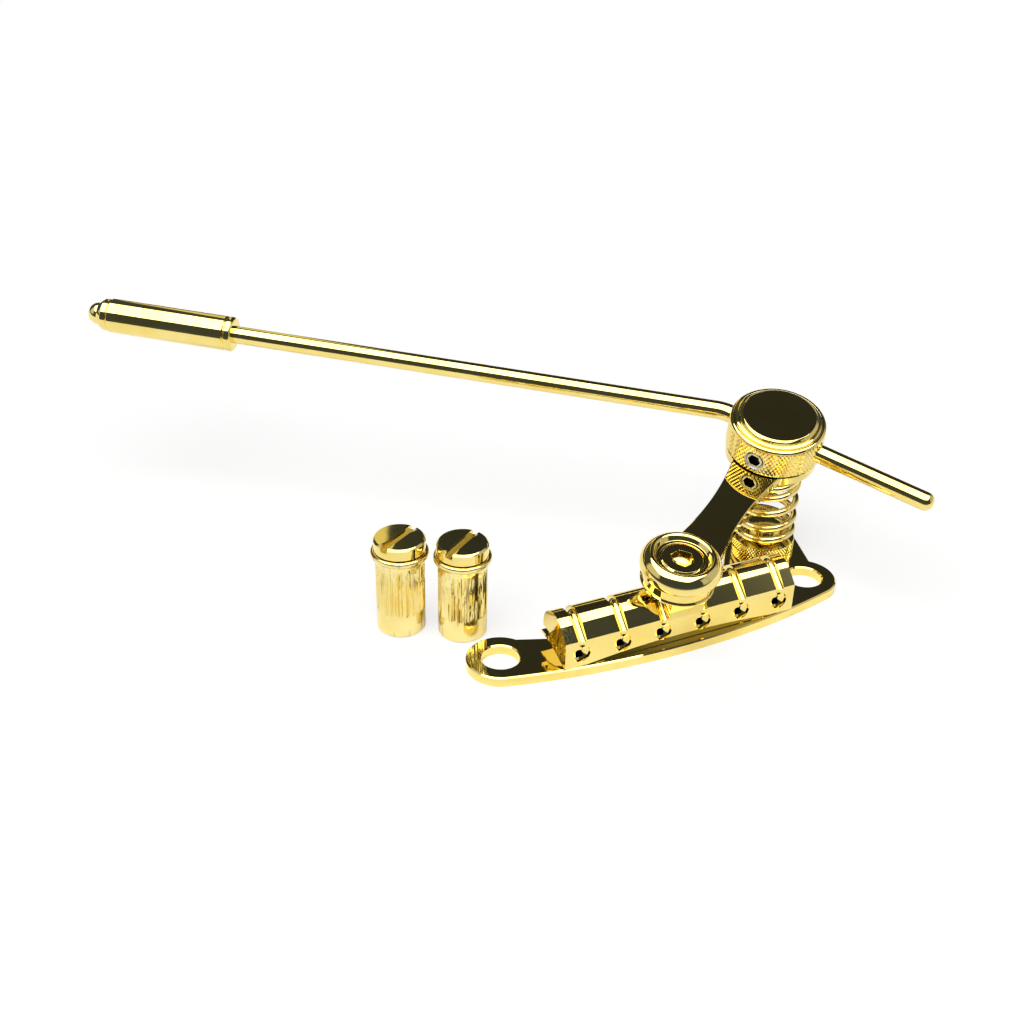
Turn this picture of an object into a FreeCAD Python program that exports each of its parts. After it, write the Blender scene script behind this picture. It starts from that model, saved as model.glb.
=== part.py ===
import FreeCAD, Part
import math
import os

# Spring-loaded vibrato tailpiece of an electric guitar, with its two mounting studs beside it.
# X runs along the string bar, Y points at the bridge, Z is up and all sizes are millimetres.
# The origin lies midway between the two stud holes, on the underside of the base plate.

# Fits and edges
RUNNING = 0.05              # radial clearance of pins, shanks and rods
OVERRUN = 5.0               # how far a cut runs past the face that it opens
SAME = 0.0003               # two places this near are one
EDGE = 0.3                  # chamfer on polished edges
FINE_EDGE = 0.2             # chamfer on small rims

# Layout of strings and studs
STUD_SPACING = 82.0
STRING_SPREAD = 52.0        # first string to sixth
STRING_COUNT = 6

# Base plate
PLATE_THICK = 2.4
STUD_HOLE_R = 4.35
EAR_R = 7.8                 # round end about each stud hole
PLATE_FRONT = 12.6          # middle of the bowed front edge, ahead of the stud line
PLATE_BACK = 2.2            # rear edge, behind the stud line
PLATE_BACK_LEFT = 28.0      # left end of the straight rear edge
PLATE_BACK_RIGHT = 18.0     # right end of it, where the wing starts
EAR_CORNER = 1.5            # corner of the left ear, outside its hole's centre
NOTCH = 5.6                 # corner between right ear and wing, outside the hole's centre
WING_R = 9.2                # round end of the wing under the spring

# String bar, heights above its lowest edge
BAR_LENGTH = 60.2
BAR_LIFT = 0.2              # lowest edge above the plate
BAR_FRONT = 10.45           # front face, ahead of the stud line
CREASE_RISE = 6.8           # top of the flat front face
LOBE_R = 4.95               # round back that the strings wrap over
LOBE_FRONT = 4.15           # its centre, ahead of the stud line
LOBE_RISE = 6.2
UNDER_RISE = 2.6            # level underside behind the slope
UNDER_FRONT = 2.6           # where the slope starts, ahead of the stud line
LIP_BACK = 1.5              # rear lip that holds the string ends
LIP_THICK = 0.7
BALL_SLOT = 1.8             # height of the channel for the string ends
BALL_SLOT_FRONT = 2.2       # its bottom, ahead of the stud line
STRING_HOLE_R = 0.95
STRING_HOLE_RISE = 2.3      # where it leaves the floor of its wide mouth
STRING_HOLE_SLOPE = 18.0    # degrees, rising to the rear
STRING_MOUTH_R = 2.15
STRING_MOUTH_RISE = 3.3
STRING_MOUTH_DEPTH = 1.6
GROOVE_R = 1.15             # ball-nosed groove under each string
GROOVE_DEPTH = 1.1
GROOVE_FRONT_DEPTH = 0.35

# Pivots under the bar
PIVOT_X = 20.8
PIVOT_FRONT = 7.4           # pin axis, ahead of the stud line
PIVOT_RISE = 2.8            # pin axis above the plate
PIN_R = 1.0
PIN_LENGTH = 7.2
LUG_THICK = 2.4
LUG_R = 2.0
LUG_TENON_R = 1.1
LUG_SIDE_GAP = 0.25
LUG_FRONT_GAP = 0.35

# Lever post, leaning to the front, heights along its axis from the centre of the lobe
POST_X = 0.4
POST_LEAN = 11.0            # degrees
POST_SET = 0.15             # axis ahead of the lobe's centre
POST_R = 7.7
POST_FRONT = 6.05           # front flat from the axis
POST_HALF = 4.5             # side flats from the axis
POST_SINK = 1.2             # foot of the post
POST_HEIGHT = 5.3
FLANGE_R = 8.6
FLANGE_THICK = 0.8

# Lever plate
LEVER_THICK = 2.4
LEVER_TURN = 33.8           # degrees from the string bar
LEVER_BEND = 7.6            # degrees upwards
LEVER_BEND_AT = 9.2         # from the post axis
LEVER_REACH = 41.1          # from the bend to the arm holder's axis
LEVER_EYE_R = 8.2
LEVER_END_R = 11.5
NECK_START = 6.0            # where the concave sides begin, from the post axis
NECK_END = 42.0             # and where they end
NECK_HALF_START = 6.7
NECK_HALF_END = 6.5
NECK_SAG = 2.1              # how far the sides draw in

# Clamp knob over the lever's eye
KNOB_R = 9.45
KNOB_FOOT_R = 8.4
KNOB_BELLY = 1.9            # height of the widest ring
KNOB_FOOT_SAG = 0.28
KNOB_SHOULDER_R = 7.65      # where the round side runs into the crest
KNOB_SHOULDER = 5.0
KNOB_SHOULDER_SAG = 0.48
KNOB_CREST_R = 6.45         # inner foot of the crest
KNOB_CREST = 4.65
KNOB_CREST_SAG = 0.26
KNOB_GROOVE_R = 6.0
KNOB_GROOVE = 3.9           # height of the groove's bottom
KNOB_FLOOR = 1.1

# Clamp screw
SCREW_HEAD_R = 5.15
SCREW_HEAD = 2.9
SCREW_HEAD_EDGE = 0.45      # chamfer round its flat top
SCREW_R = 2.5
SCREW_SOCKET = 4.2          # across flats
SCREW_SOCKET_DEPTH = 2.0
SCREW_BITE = 1.8            # shank in the bar below the post

# Arm holder, heights along its axis from the lever's top
WASHER_R = 9.0
WASHER_THICK = 0.4
HOLDER_R = 11.8
HOLDER_HEIGHT = 7.3
CAP_R = 11.7
CAP_FOOT_R = 11.35
CAP_RIM_BELLY = 0.35
CAP_RIM_SAG = 0.06
CAP_RIM = 0.95              # height of the rounded rim
CAP_RIM_IN_R = 10.65
CAP_RIM_TOP_SAG = 0.25
CAP_LINE = 0.25             # depth of the two fine grooves
CAP_STEP_OUT_R = 10.45
CAP_STEP_IN_R = 9.75
CAP_STEP = 1.5
CAP_DISC_R = 8.9
CAP_DISC_OUT_R = 9.55
CAP_HEIGHT = 2.5
CAP_SPIGOT_R = 6.0
CAP_SPIGOT = 0.4
HOLDER_SCREW_HEAD_R = 4.4
HOLDER_SCREW_CONE = 1.7
HOLDER_SCREW_BITE = 0.8
GRUB_R = 2.0
GRUB_RECESS = 0.45
GRUB_SOCKET = 2.4           # across flats
GRUB_SOCKET_DEPTH = 1.8

# Vibrato arm
ROD_R = 2.3
ROD_RISE = 3.85             # centre above the lever's top
ARM_TURN = 88.0             # degrees from the lever's length
ARM_BEND = 22.3             # degrees
ARM_DROOP = 0.6             # degrees, down towards the handle
ARM_TAIL = 41.5
ARM_BEND_AT = 14.4
ARM_BEND_R = 10.0
ARM_REACH = 127.7           # from the bend to the handle
HANDLE_R = 4.5
HANDLE_LENGTH = 34.0
HANDLE_ROUND = 0.8
HANDLE_LINE_AT = 2.0
HANDLE_LINE = 0.35
HANDLE_FLOOR = 3.5          # metal between the rod's end and the tip's shank
COLLAR_R = 4.2
COLLAR_FACE_R = 3.3
COLLAR_LENGTH = 3.0
COLLAR_STRAIGHT = 1.6
TIP_R = 2.9
TIP_LENGTH = 3.3
TIP_SHANK_R = 1.5
TIP_SHANK = 9.0

# Return spring and its seat
SPRING_X = 40.5
SPRING_BACK = 17.5          # behind the stud line
WIRE_R = 0.9
COIL_R = 6.8
SPRING_REST = 0.05          # air at each end of the spring
PITCH_SHARES = (0.121, 0.207, 0.239, 0.276, 0.157)
TILT_SHARE = 0.6            # of the height, above which the coils lean to the lever
SEAT_R = 7.85
SEAT_HEIGHT = 2.5
SEAT_BOSS_R = 4.4
SEAT_BOSS = 3.1
SEAT_SCREW_HEAD_R = 4.4
SEAT_SCREW_CONE = 1.7
SEAT_SCREW_LENGTH = 6.8

# Mounting studs and their bushings
LEFT_STUD_X = -55.5
LEFT_STUD_BACK = 23.9
LEFT_SLOT_TURN = 32.0       # degrees
RIGHT_STUD_X = -43.2
RIGHT_STUD_BACK = 16.3
RIGHT_SLOT_TURN = 35.0
BUSH_R = 5.65
BUSH_HEIGHT = 20.8
BUSH_FLANGE_R = 6.7
BUSH_FLANGE = 1.2
BUSH_FLANGE_ROUND = 0.5
BUSH_FLARE = 1.0
BUSH_FLARE_SAG = 0.12
BUSH_BORE_DEPTH = 18.5
STUD_R = 4.0
STUD_SHANK = 17.0
STUD_NECK_R = 4.9
STUD_NECK = 0.2
STUD_HEAD_R = 6.0
STUD_HEAD = 3.0
STUD_HEAD_EDGE = 0.45       # chamfer round its top
STUD_SLOT = 1.8
STUD_SLOT_DEPTH = 1.3

# Heights and directions that follow from the sizes
origin = FreeCAD.Vector(0, 0, 0)
x_axis = FreeCAD.Vector(1, 0, 0)
y_axis = FreeCAD.Vector(0, 1, 0)
z_axis = FreeCAD.Vector(0, 0, 1)
bar_z = PLATE_THICK + BAR_LIFT
lobe_z = bar_z + LOBE_RISE
under_z = bar_z + UNDER_RISE
pivot_z = PLATE_THICK + PIVOT_RISE
mouth_z = bar_z + STRING_MOUTH_RISE
stud_x = STUD_SPACING / 2


def flat(a, b):
    return FreeCAD.Vector(a, b, 0)


def upright(a, b):
    return FreeCAD.Vector(a, 0, b)


def sideways(a, b):
    return FreeCAD.Vector(0, a, b)


def closed_face(points, lift):
    # A point (a, b) ends a straight edge, and (a, b, sag) ends an arc that bows left by its sag.
    edges = []
    for start, end in zip(points, points[1:] + points[:1]):
        first, last = lift(start[0], start[1]), lift(end[0], end[1])
        if len(end) == 2:
            edges.append(Part.makeLine(first, last))
            continue
        run_a, run_b = end[0] - start[0], end[1] - start[1]
        share = end[2] / math.hypot(run_a, run_b)
        middle = lift((start[0] + end[0]) / 2 - run_b * share, (start[1] + end[1]) / 2 + run_a * share)
        edges.append(Part.Arc(first, middle, last).toShape())
    return Part.Face(Part.Wire(edges))


def turned(points):
    # Solid of revolution about Z from (radius, height) points.
    return closed_face(points, upright).revolve(origin, z_axis, 360)


def plug(radius, low, high):
    # Cylinder about Z between two heights.
    return Part.makeCylinder(radius, high - low, FreeCAD.Vector(0, 0, low))


def hexagon(across, low, high):
    corner = across / math.sqrt(3)
    turns = [math.radians(60 * side) for side in range(6)]
    points = [(corner * math.cos(turn), corner * math.sin(turn)) for turn in turns]
    face = closed_face(points, flat)
    face.translate(FreeCAD.Vector(0, 0, low))
    return face.extrude(FreeCAD.Vector(0, 0, high - low))


def frame_at(place, along, up):
    # Frame with its X along the second vector and its Z along the third.
    return FreeCAD.Placement(place, FreeCAD.Rotation(along, up.cross(along), up, "ZXY"))


def moved(shape, frame):
    return shape.transformed(frame.toMatrix())


def quarter_sag(radius):
    # Bow of a quarter round.
    return radius * (1 - math.sqrt(0.5))


def tangent_point(point, centre, radius, side):
    # Where a straight edge from the point meets a circle, on its left (1) or right (-1).
    run = (centre[0] - point[0], centre[1] - point[1])
    reach = math.hypot(run[0], run[1])
    turn = math.atan2(run[1], run[0]) + side * math.asin(radius / reach)
    length = math.sqrt(reach * reach - radius * radius)
    return (point[0] + length * math.cos(turn), point[1] + length * math.sin(turn))


def rim_edges(shape, on_face):
    # Edges whose every vertex passes the test.
    return [edge for edge in shape.Edges if all(on_face(vertex.Point) for vertex in edge.Vertexes)]


def near(value, target):
    return abs(value - target) < SAME


def tube(edges, radius):
    # Round wire along a run of touching edges.
    first = edges[0]
    start = first.valueAt(first.FirstParameter)
    ring = Part.makeCircle(radius, start, first.tangentAt(first.FirstParameter))
    shell = Part.BRepOffsetAPI.MakePipeShell(Part.Wire(edges))
    shell.add(Part.Wire([ring]), False, False)
    shell.build()
    shell.makeSolid()
    return shell.shape()


# Frames of the tilted pieces: the post on the bar, the lever before and after its bend, the arm
lean = math.radians(POST_LEAN)
post_up = FreeCAD.Vector(0, -math.sin(lean), math.cos(lean))
post_foot = FreeCAD.Vector(POST_X, -(LOBE_FRONT + POST_SET), lobe_z)
post_frame = frame_at(post_foot, x_axis, post_up)
post_top = POST_SINK + POST_HEIGHT + FLANGE_THICK
lever_top = post_top + LEVER_THICK
turn = math.radians(LEVER_TURN)
lever_along = x_axis * math.cos(turn) + post_up.cross(x_axis) * math.sin(turn)
lever_across = post_up.cross(lever_along)
eye_frame = frame_at(post_foot + post_up * lever_top, lever_along, post_up)
bend = math.radians(LEVER_BEND)
rise_along = lever_along * math.cos(bend) + post_up * math.sin(bend)
rise_up = rise_along.cross(lever_across)
bend_place = post_foot + post_up * lever_top + lever_along * LEVER_BEND_AT
rise_frame = frame_at(bend_place, rise_along, rise_up)
holder_place = bend_place + rise_along * LEVER_REACH
holder_frame = frame_at(holder_place, rise_along, rise_up)
droop = math.radians(ARM_DROOP)
arm_turn = math.radians(ARM_TURN)
arm_level = rise_along * math.cos(arm_turn) + lever_across * math.sin(arm_turn)
arm_along = arm_level * math.cos(droop) - rise_up * math.sin(droop)
arm_up = rise_up * math.cos(droop) + arm_level * math.sin(droop)
arm_side = arm_up.cross(arm_along)
arm_bend = math.radians(ARM_BEND)
arm_far = arm_along * math.cos(arm_bend) + arm_side * math.sin(arm_bend)
rod_middle = holder_place + rise_up * ROD_RISE
arm_corner = rod_middle + arm_along * ARM_BEND_AT
handle_place = arm_corner + arm_far * ARM_REACH
handle_frame = frame_at(handle_place, arm_up, arm_far)
tip_foot = HANDLE_LENGTH + COLLAR_LENGTH
handle_socket = tip_foot - TIP_SHANK - HANDLE_FLOOR
spring_foot = PLATE_THICK + SEAT_HEIGHT
spring_place = FreeCAD.Vector(SPRING_X, SPRING_BACK, spring_foot)


def base_plate():
    # Plate with an ear about each stud hole, a bowed front edge that runs into both ears,
    # and a wing that carries the spring seat.
    left, right, seat = (-stud_x, 0), (stud_x, 0), (SPRING_X, SPRING_BACK)
    ear_corner = (-stud_x - EAR_CORNER, math.sqrt(EAR_R ** 2 - EAR_CORNER ** 2))
    notch = (stud_x + NOTCH, math.sqrt(EAR_R ** 2 - NOTCH ** 2))
    bow_r = (stud_x ** 2 + PLATE_FRONT ** 2 - EAR_R ** 2) / (2 * (PLATE_FRONT - EAR_R))
    front_x = stud_x * bow_r / (bow_r - EAR_R)
    front_y = bow_r - PLATE_FRONT - math.sqrt(bow_r ** 2 - front_x ** 2)
    back_left, back_right = (-PLATE_BACK_LEFT, PLATE_BACK), (PLATE_BACK_RIGHT, PLATE_BACK)
    outline = [
        (-front_x, front_y), (front_x, front_y, -front_y - PLATE_FRONT), right, notch,
        tangent_point(notch, seat, WING_R, -1), seat, tangent_point(back_right, seat, WING_R, 1),
        back_right, back_left, ear_corner, left,
    ]
    thick = FreeCAD.Vector(0, 0, PLATE_THICK)
    plate = closed_face(outline, flat).extrude(thick)
    discs = []
    for centre, radius in ((left, EAR_R), (right, EAR_R), (seat, WING_R)):
        discs.append(Part.makeCylinder(radius, PLATE_THICK, flat(*centre)))
    plate = plate.fuse(discs).removeSplitter()
    for centre in (left, right):
        plate = plate.cut(Part.makeCylinder(STUD_HOLE_R, PLATE_THICK, flat(*centre)))
    plate = plate.makeChamfer(EDGE, rim_edges(plate, lambda point: near(point.z, PLATE_THICK)))
    for side in (-1, 1):
        tenon = plug(LUG_TENON_R + RUNNING, -OVERRUN, PLATE_THICK + OVERRUN)
        tenon.translate(flat(side * PIVOT_X, -PIVOT_FRONT))
        plate = plate.cut(tenon)
    sink = screw_sink(SEAT_SCREW_HEAD_R, SEAT_SCREW_CONE, PLATE_THICK)
    sink.translate(flat(*seat))
    return plate.cut(sink)


def countersunk(head_radius, shank_radius, cone, length):
    # Countersunk screw body standing on its head at height zero.
    return turned([(0, 0), (head_radius, 0), (shank_radius, cone), (shank_radius, length), (0, length)])


def screw_sink(head_radius, cone, thick):
    # Room for a countersunk screw through a plate of that thickness.
    return countersunk(head_radius + RUNNING, SCREW_R + RUNNING, cone, thick + OVERRUN)


def bar_outline():
    # Section of the string bar, from its front foot up and over to the rear.
    lobe = (-LOBE_FRONT, lobe_z)
    crease = (-BAR_FRONT, bar_z + CREASE_RISE)
    rise = tangent_point(crease, lobe, LOBE_R, 1)
    start = math.atan2(rise[1] - lobe[1], rise[0] - lobe[0])
    slot_top = under_z + LIP_THICK + BALL_SLOT
    end = -math.asin((lobe_z - slot_top) / LOBE_R)
    back = (lobe[0] + LOBE_R * math.cos(end), slot_top)
    sag = LOBE_R * (1 - math.cos((start - end) / 2))
    return [
        (-BAR_FRONT, bar_z), crease, rise, (back[0], back[1], sag), (-BALL_SLOT_FRONT, slot_top),
        (-BALL_SLOT_FRONT, under_z + LIP_THICK), (LIP_BACK, under_z + LIP_THICK), (LIP_BACK, under_z),
        (-UNDER_FRONT, under_z),
    ]


def wrap_groove(x):
    # Ball-nosed cut for one string, shallow up the front and deeper over the round back.
    front, lobe = -BAR_FRONT + GROOVE_FRONT_DEPTH - GROOVE_R, (-LOBE_FRONT, lobe_z)
    radius = LOBE_R - GROOVE_DEPTH + GROOVE_R
    crease = (front, bar_z + CREASE_RISE)
    rise = tangent_point(crease, lobe, radius, 1)
    half = math.atan2(rise[1] - lobe[1], rise[0] - lobe[0]) / 2
    crest = (lobe[0] + radius * math.cos(half), lobe[1] + radius * math.sin(half))
    back = (lobe[0] + radius, lobe[1])
    corner, start, middle, end = [FreeCAD.Vector(x, *point) for point in (crease, rise, crest, back)]
    over = tube([Part.makeLine(corner, start), Part.Arc(start, middle, end).toShape()], GROOVE_R)
    up = Part.makeCylinder(GROOVE_R, corner.z - mouth_z, FreeCAD.Vector(x, front, mouth_z))
    return [over, up, Part.makeSphere(GROOVE_R, corner)]


def string_hole(x):
    # Sloping hole that opens low in a wide round mouth, for one string.
    slope = math.radians(STRING_HOLE_SLOPE)
    inward = FreeCAD.Vector(0, math.cos(slope), math.sin(slope))
    opening = FreeCAD.Vector(x, STRING_MOUTH_DEPTH - BAR_FRONT, bar_z + STRING_HOLE_RISE)
    start = opening - inward * (2 * STRING_HOLE_R * math.tan(slope))
    drill = Part.makeCylinder(STRING_HOLE_R, BAR_FRONT + LOBE_R, start, inward)
    rim_r = STRING_MOUTH_R + FINE_EDGE
    funnel = turned([
        (0, -OVERRUN), (rim_r, -OVERRUN), (rim_r, 0), (STRING_MOUTH_R, FINE_EDGE),
        (STRING_MOUTH_R, STRING_MOUTH_DEPTH), (0, STRING_MOUTH_DEPTH),
    ])
    return [drill, moved(funnel, frame_at(FreeCAD.Vector(x, -BAR_FRONT, mouth_z), x_axis, y_axis))]


def string_bar():
    # Bar with a wrap groove and a hole for each string, open below for the pivots.
    bar = closed_face(bar_outline(), sideways).extrude(x_axis * BAR_LENGTH)
    bar.translate(x_axis * (-BAR_LENGTH / 2))
    bar = bar.makeChamfer(FINE_EDGE, rim_edges(bar, lambda point: near(abs(point.x), BAR_LENGTH / 2)))
    pitch = STRING_SPREAD / (STRING_COUNT - 1)
    for string in range(STRING_COUNT):
        x = string * pitch - STRING_SPREAD / 2
        bar = bar.cut(wrap_groove(x)).cut(string_hole(x))
    for side in (-1, 1):
        bar = bar.cut(pivot_room(side * PIVOT_X))
    bar = bar.cut(moved(post_body(POST_SINK, post_top), post_frame))
    thread = plug(SCREW_R, POST_SINK - SCREW_BITE, POST_SINK)
    return bar.cut(moved(thread, post_frame))


def pivot_room(x):
    # Slot for a lug, and the open cradle in which the bar rides on its pin.
    half = LUG_THICK / 2 + LUG_SIDE_GAP
    wide = LUG_R + LUG_FRONT_GAP
    back = wide + LUG_R / 2
    slot_corner = flat(x - half, -PIVOT_FRONT - wide)
    slot = Part.makeBox(2 * half, wide + back, pivot_z + wide, slot_corner)
    cradle_r = PIN_R + RUNNING
    cradle_start = x - PIN_LENGTH / 2 - RUNNING
    cradle_length = PIN_LENGTH + 2 * RUNNING
    cradle_corner = flat(cradle_start, -PIVOT_FRONT - cradle_r)
    cradle = Part.makeBox(cradle_length, 2 * cradle_r, pivot_z, cradle_corner)
    crown_start = FreeCAD.Vector(cradle_start, -PIVOT_FRONT, pivot_z)
    crown = Part.makeCylinder(cradle_r, cradle_length, crown_start, x_axis)
    return [slot, cradle, crown]


def pivot_lugs():
    # Two upright lugs riveted into the plate by round tenons.
    lugs = []
    for side in (-1, 1):
        start = FreeCAD.Vector(side * PIVOT_X - LUG_THICK / 2, -PIVOT_FRONT, pivot_z)
        lug = Part.makeCylinder(LUG_R, LUG_THICK, start, x_axis)
        foot = Part.makeBox(LUG_THICK, 2 * LUG_R, PIVOT_RISE,
                            FreeCAD.Vector(start.x, -PIVOT_FRONT - LUG_R, PLATE_THICK))
        tenon = plug(LUG_TENON_R, RUNNING, PLATE_THICK)
        tenon.translate(flat(side * PIVOT_X, -PIVOT_FRONT))
        lug = lug.fuse([foot, tenon]).removeSplitter()
        lugs.append(lug.cut(Part.makeCylinder(PIN_R, LUG_THICK, start, x_axis)))
    return Part.makeCompound(lugs)


def pivot_pins():
    pins = []
    for side in (-1, 1):
        start = FreeCAD.Vector(side * PIVOT_X - PIN_LENGTH / 2, -PIVOT_FRONT, pivot_z)
        pins.append(Part.makeCylinder(PIN_R, PIN_LENGTH, start, x_axis))
    return Part.makeCompound(pins)


def post_body(low, high):
    # Round post milled flat in front and on both sides, so that it clears the strings.
    block = Part.makeBox(2 * POST_HALF, POST_FRONT + POST_R, high - low,
                         FreeCAD.Vector(-POST_HALF, -POST_FRONT, low))
    return plug(POST_R, low, high).common(block)


def lever_post():
    neck_top = POST_SINK + POST_HEIGHT
    flange = turned([
        (0, neck_top), (FLANGE_R - FINE_EDGE, neck_top), (FLANGE_R, neck_top + FINE_EDGE),
        (FLANGE_R, post_top - FINE_EDGE), (FLANGE_R - FINE_EDGE, post_top), (0, post_top),
    ])
    post = post_body(POST_SINK, neck_top).fuse(flange)
    return moved(post.cut(plug(SCREW_R + RUNNING, 0, post_top + OVERRUN)), post_frame)


def lever_plate():
    # Flat bar with a round eye, drawn-in sides and a round end, bent up just past its eye.
    down = FreeCAD.Vector(0, 0, -LEVER_THICK)
    end_at = LEVER_BEND_AT + LEVER_REACH
    neck = closed_face([
        (NECK_START, -NECK_HALF_START), (NECK_END, -NECK_HALF_END, NECK_SAG),
        (NECK_END, NECK_HALF_END), (NECK_START, NECK_HALF_START, NECK_SAG),
    ], flat).extrude(down)
    eye = Part.makeCylinder(LEVER_EYE_R, LEVER_THICK, down)
    end = Part.makeCylinder(LEVER_END_R, LEVER_THICK, FreeCAD.Vector(end_at, 0, -LEVER_THICK))
    blank = neck.fuse([eye, end]).removeSplitter()
    width = 2 * (LEVER_END_R + OVERRUN)
    split_corner = FreeCAD.Vector(LEVER_BEND_AT, -width / 2, -LEVER_THICK)
    split = Part.makeBox(end_at + width, width, 2 * LEVER_THICK, split_corner)
    inner, outer = blank.cut(split), blank.common(split)
    outer.translate(x_axis * -LEVER_BEND_AT)
    inner = moved(inner, eye_frame)
    outer = moved(outer, rise_frame)
    bend_faces = [face for face in inner.Faces if all(at_bend(vertex.Point) for vertex in face.Vertexes)]
    knuckle = bend_faces[0].revolve(bend_place, lever_across * -1, LEVER_BEND)
    lever = inner.fuse([knuckle, outer]).removeSplitter()
    rims = [edge for edge in lever.Edges if top_rim(edge)]
    lever = lever.makeChamfer(FINE_EDGE, rims)
    post_hole = moved(plug(SCREW_R + RUNNING, 0, lever_top + OVERRUN), post_frame)
    sink = screw_sink(HOLDER_SCREW_HEAD_R, HOLDER_SCREW_CONE, LEVER_THICK)
    sink.translate(down)
    return lever.cut([post_hole, moved(sink, holder_frame)])


def at_bend(point):
    # True on the plane across the lever where its bend starts.
    return near((point - bend_place) * lever_along, 0)


def top_rim(edge):
    # True for an outer edge of the lever's top, on either side of the bend line.
    points = [vertex.Point for vertex in edge.Vertexes]
    on_eye = all(near((point - bend_place) * post_up, 0) for point in points)
    on_rise = all(near((point - bend_place) * rise_up, 0) for point in points)
    return on_eye != on_rise


def clamp_knob():
    # Ring knob that presses the lever onto the post, hollow for the screw's head.
    return moved(turned([
        (SCREW_R + RUNNING, 0), (KNOB_FOOT_R, 0), (KNOB_R, KNOB_BELLY, -KNOB_FOOT_SAG),
        (KNOB_SHOULDER_R, KNOB_SHOULDER, -KNOB_SHOULDER_SAG),
        (KNOB_CREST_R, KNOB_CREST, -KNOB_CREST_SAG), (KNOB_GROOVE_R, KNOB_GROOVE),
        (SCREW_HEAD_R + RUNNING, KNOB_GROOVE), (SCREW_HEAD_R + RUNNING, KNOB_FLOOR),
        (SCREW_R + RUNNING, KNOB_FLOOR),
    ]), eye_frame)


def clamp_screw():
    head_z = lever_top + KNOB_FLOOR
    top = head_z + SCREW_HEAD
    screw = turned([
        (0, POST_SINK - SCREW_BITE), (SCREW_R, POST_SINK - SCREW_BITE), (SCREW_R, head_z),
        (SCREW_HEAD_R, head_z), (SCREW_HEAD_R, top - SCREW_HEAD_EDGE),
        (SCREW_HEAD_R - SCREW_HEAD_EDGE, top), (0, top),
    ])
    return moved(screw.cut(hexagon(SCREW_SOCKET, top - SCREW_SOCKET_DEPTH, top)), post_frame)


def rod_bore(radius):
    # Straight tool along the arm's stub, through the holder.
    start = rod_middle - arm_along * (HOLDER_R + OVERRUN)
    return Part.makeCylinder(radius, 2 * (HOLDER_R + OVERRUN), start, arm_along)


def grub_frame():
    # Frame of the grub screw, square to the arm, its Z pointing out towards the clamp knob.
    return frame_at(rod_middle, arm_up, arm_side)


def arm_holder():
    # Knurled turret: cross bore for the arm, side bore for the grub screw.
    top = WASHER_THICK + HOLDER_HEIGHT
    body = turned([
        (0, WASHER_THICK), (HOLDER_R - FINE_EDGE, WASHER_THICK), (HOLDER_R, WASHER_THICK + FINE_EDGE),
        (HOLDER_R, top - FINE_EDGE), (HOLDER_R - FINE_EDGE, top), (CAP_SPIGOT_R + RUNNING, top),
        (CAP_SPIGOT_R + RUNNING, top - CAP_SPIGOT), (0, top - CAP_SPIGOT),
    ])
    thread = plug(SCREW_R, 0, WASHER_THICK + HOLDER_SCREW_BITE)
    body = moved(body.cut(thread), holder_frame)
    side = plug(GRUB_R + RUNNING, 0, HOLDER_R + OVERRUN)
    rim = turned([(0, HOLDER_R - 2 * FINE_EDGE), (GRUB_R + RUNNING, HOLDER_R - 2 * FINE_EDGE),
                  (GRUB_R + RUNNING + 2 * FINE_EDGE, HOLDER_R), (0, HOLDER_R)])
    return body.cut([rod_bore(ROD_R + RUNNING), moved(side.fuse(rim), grub_frame())])


def holder_cap():
    # Lid with a rounded rim, two fine lines and a polished flat disc.
    foot = WASHER_THICK + HOLDER_HEIGHT
    return moved(turned([
        (0, foot - CAP_SPIGOT), (CAP_SPIGOT_R, foot - CAP_SPIGOT), (CAP_SPIGOT_R, foot), (CAP_FOOT_R, foot),
        (CAP_R, foot + CAP_RIM_BELLY, -CAP_RIM_SAG), (CAP_RIM_IN_R, foot + CAP_RIM, -CAP_RIM_TOP_SAG),
        (CAP_RIM_IN_R, foot + CAP_RIM - CAP_LINE), (CAP_STEP_OUT_R, foot + CAP_RIM - CAP_LINE),
        (CAP_STEP_OUT_R, foot + CAP_STEP - CAP_LINE), (CAP_STEP_IN_R, foot + CAP_STEP),
        (CAP_STEP_IN_R, foot + CAP_STEP - CAP_LINE), (CAP_DISC_OUT_R, foot + CAP_STEP - CAP_LINE),
        (CAP_DISC_OUT_R, foot + CAP_HEIGHT - 2 * CAP_LINE), (CAP_DISC_R, foot + CAP_HEIGHT),
        (0, foot + CAP_HEIGHT),
    ]), holder_frame)


def holder_washer():
    ring = plug(WASHER_R, 0, WASHER_THICK).cut(plug(SCREW_R + RUNNING, 0, WASHER_THICK))
    return moved(ring, holder_frame)


def holder_screw():
    # Countersunk from below, so that the spring meets a flat lever.
    length = LEVER_THICK + WASHER_THICK + HOLDER_SCREW_BITE
    screw = countersunk(HOLDER_SCREW_HEAD_R, SCREW_R, HOLDER_SCREW_CONE, length)
    screw = screw.cut(hexagon(GRUB_SOCKET, 0, HOLDER_SCREW_CONE))
    screw.translate(FreeCAD.Vector(0, 0, -LEVER_THICK))
    return moved(screw, holder_frame)


def arm_grub_screw():
    out = HOLDER_R - GRUB_RECESS
    grub = plug(GRUB_R, ROD_R + RUNNING, out).cut(hexagon(GRUB_SOCKET, out - GRUB_SOCKET_DEPTH, out))
    return moved(grub, grub_frame())


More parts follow.
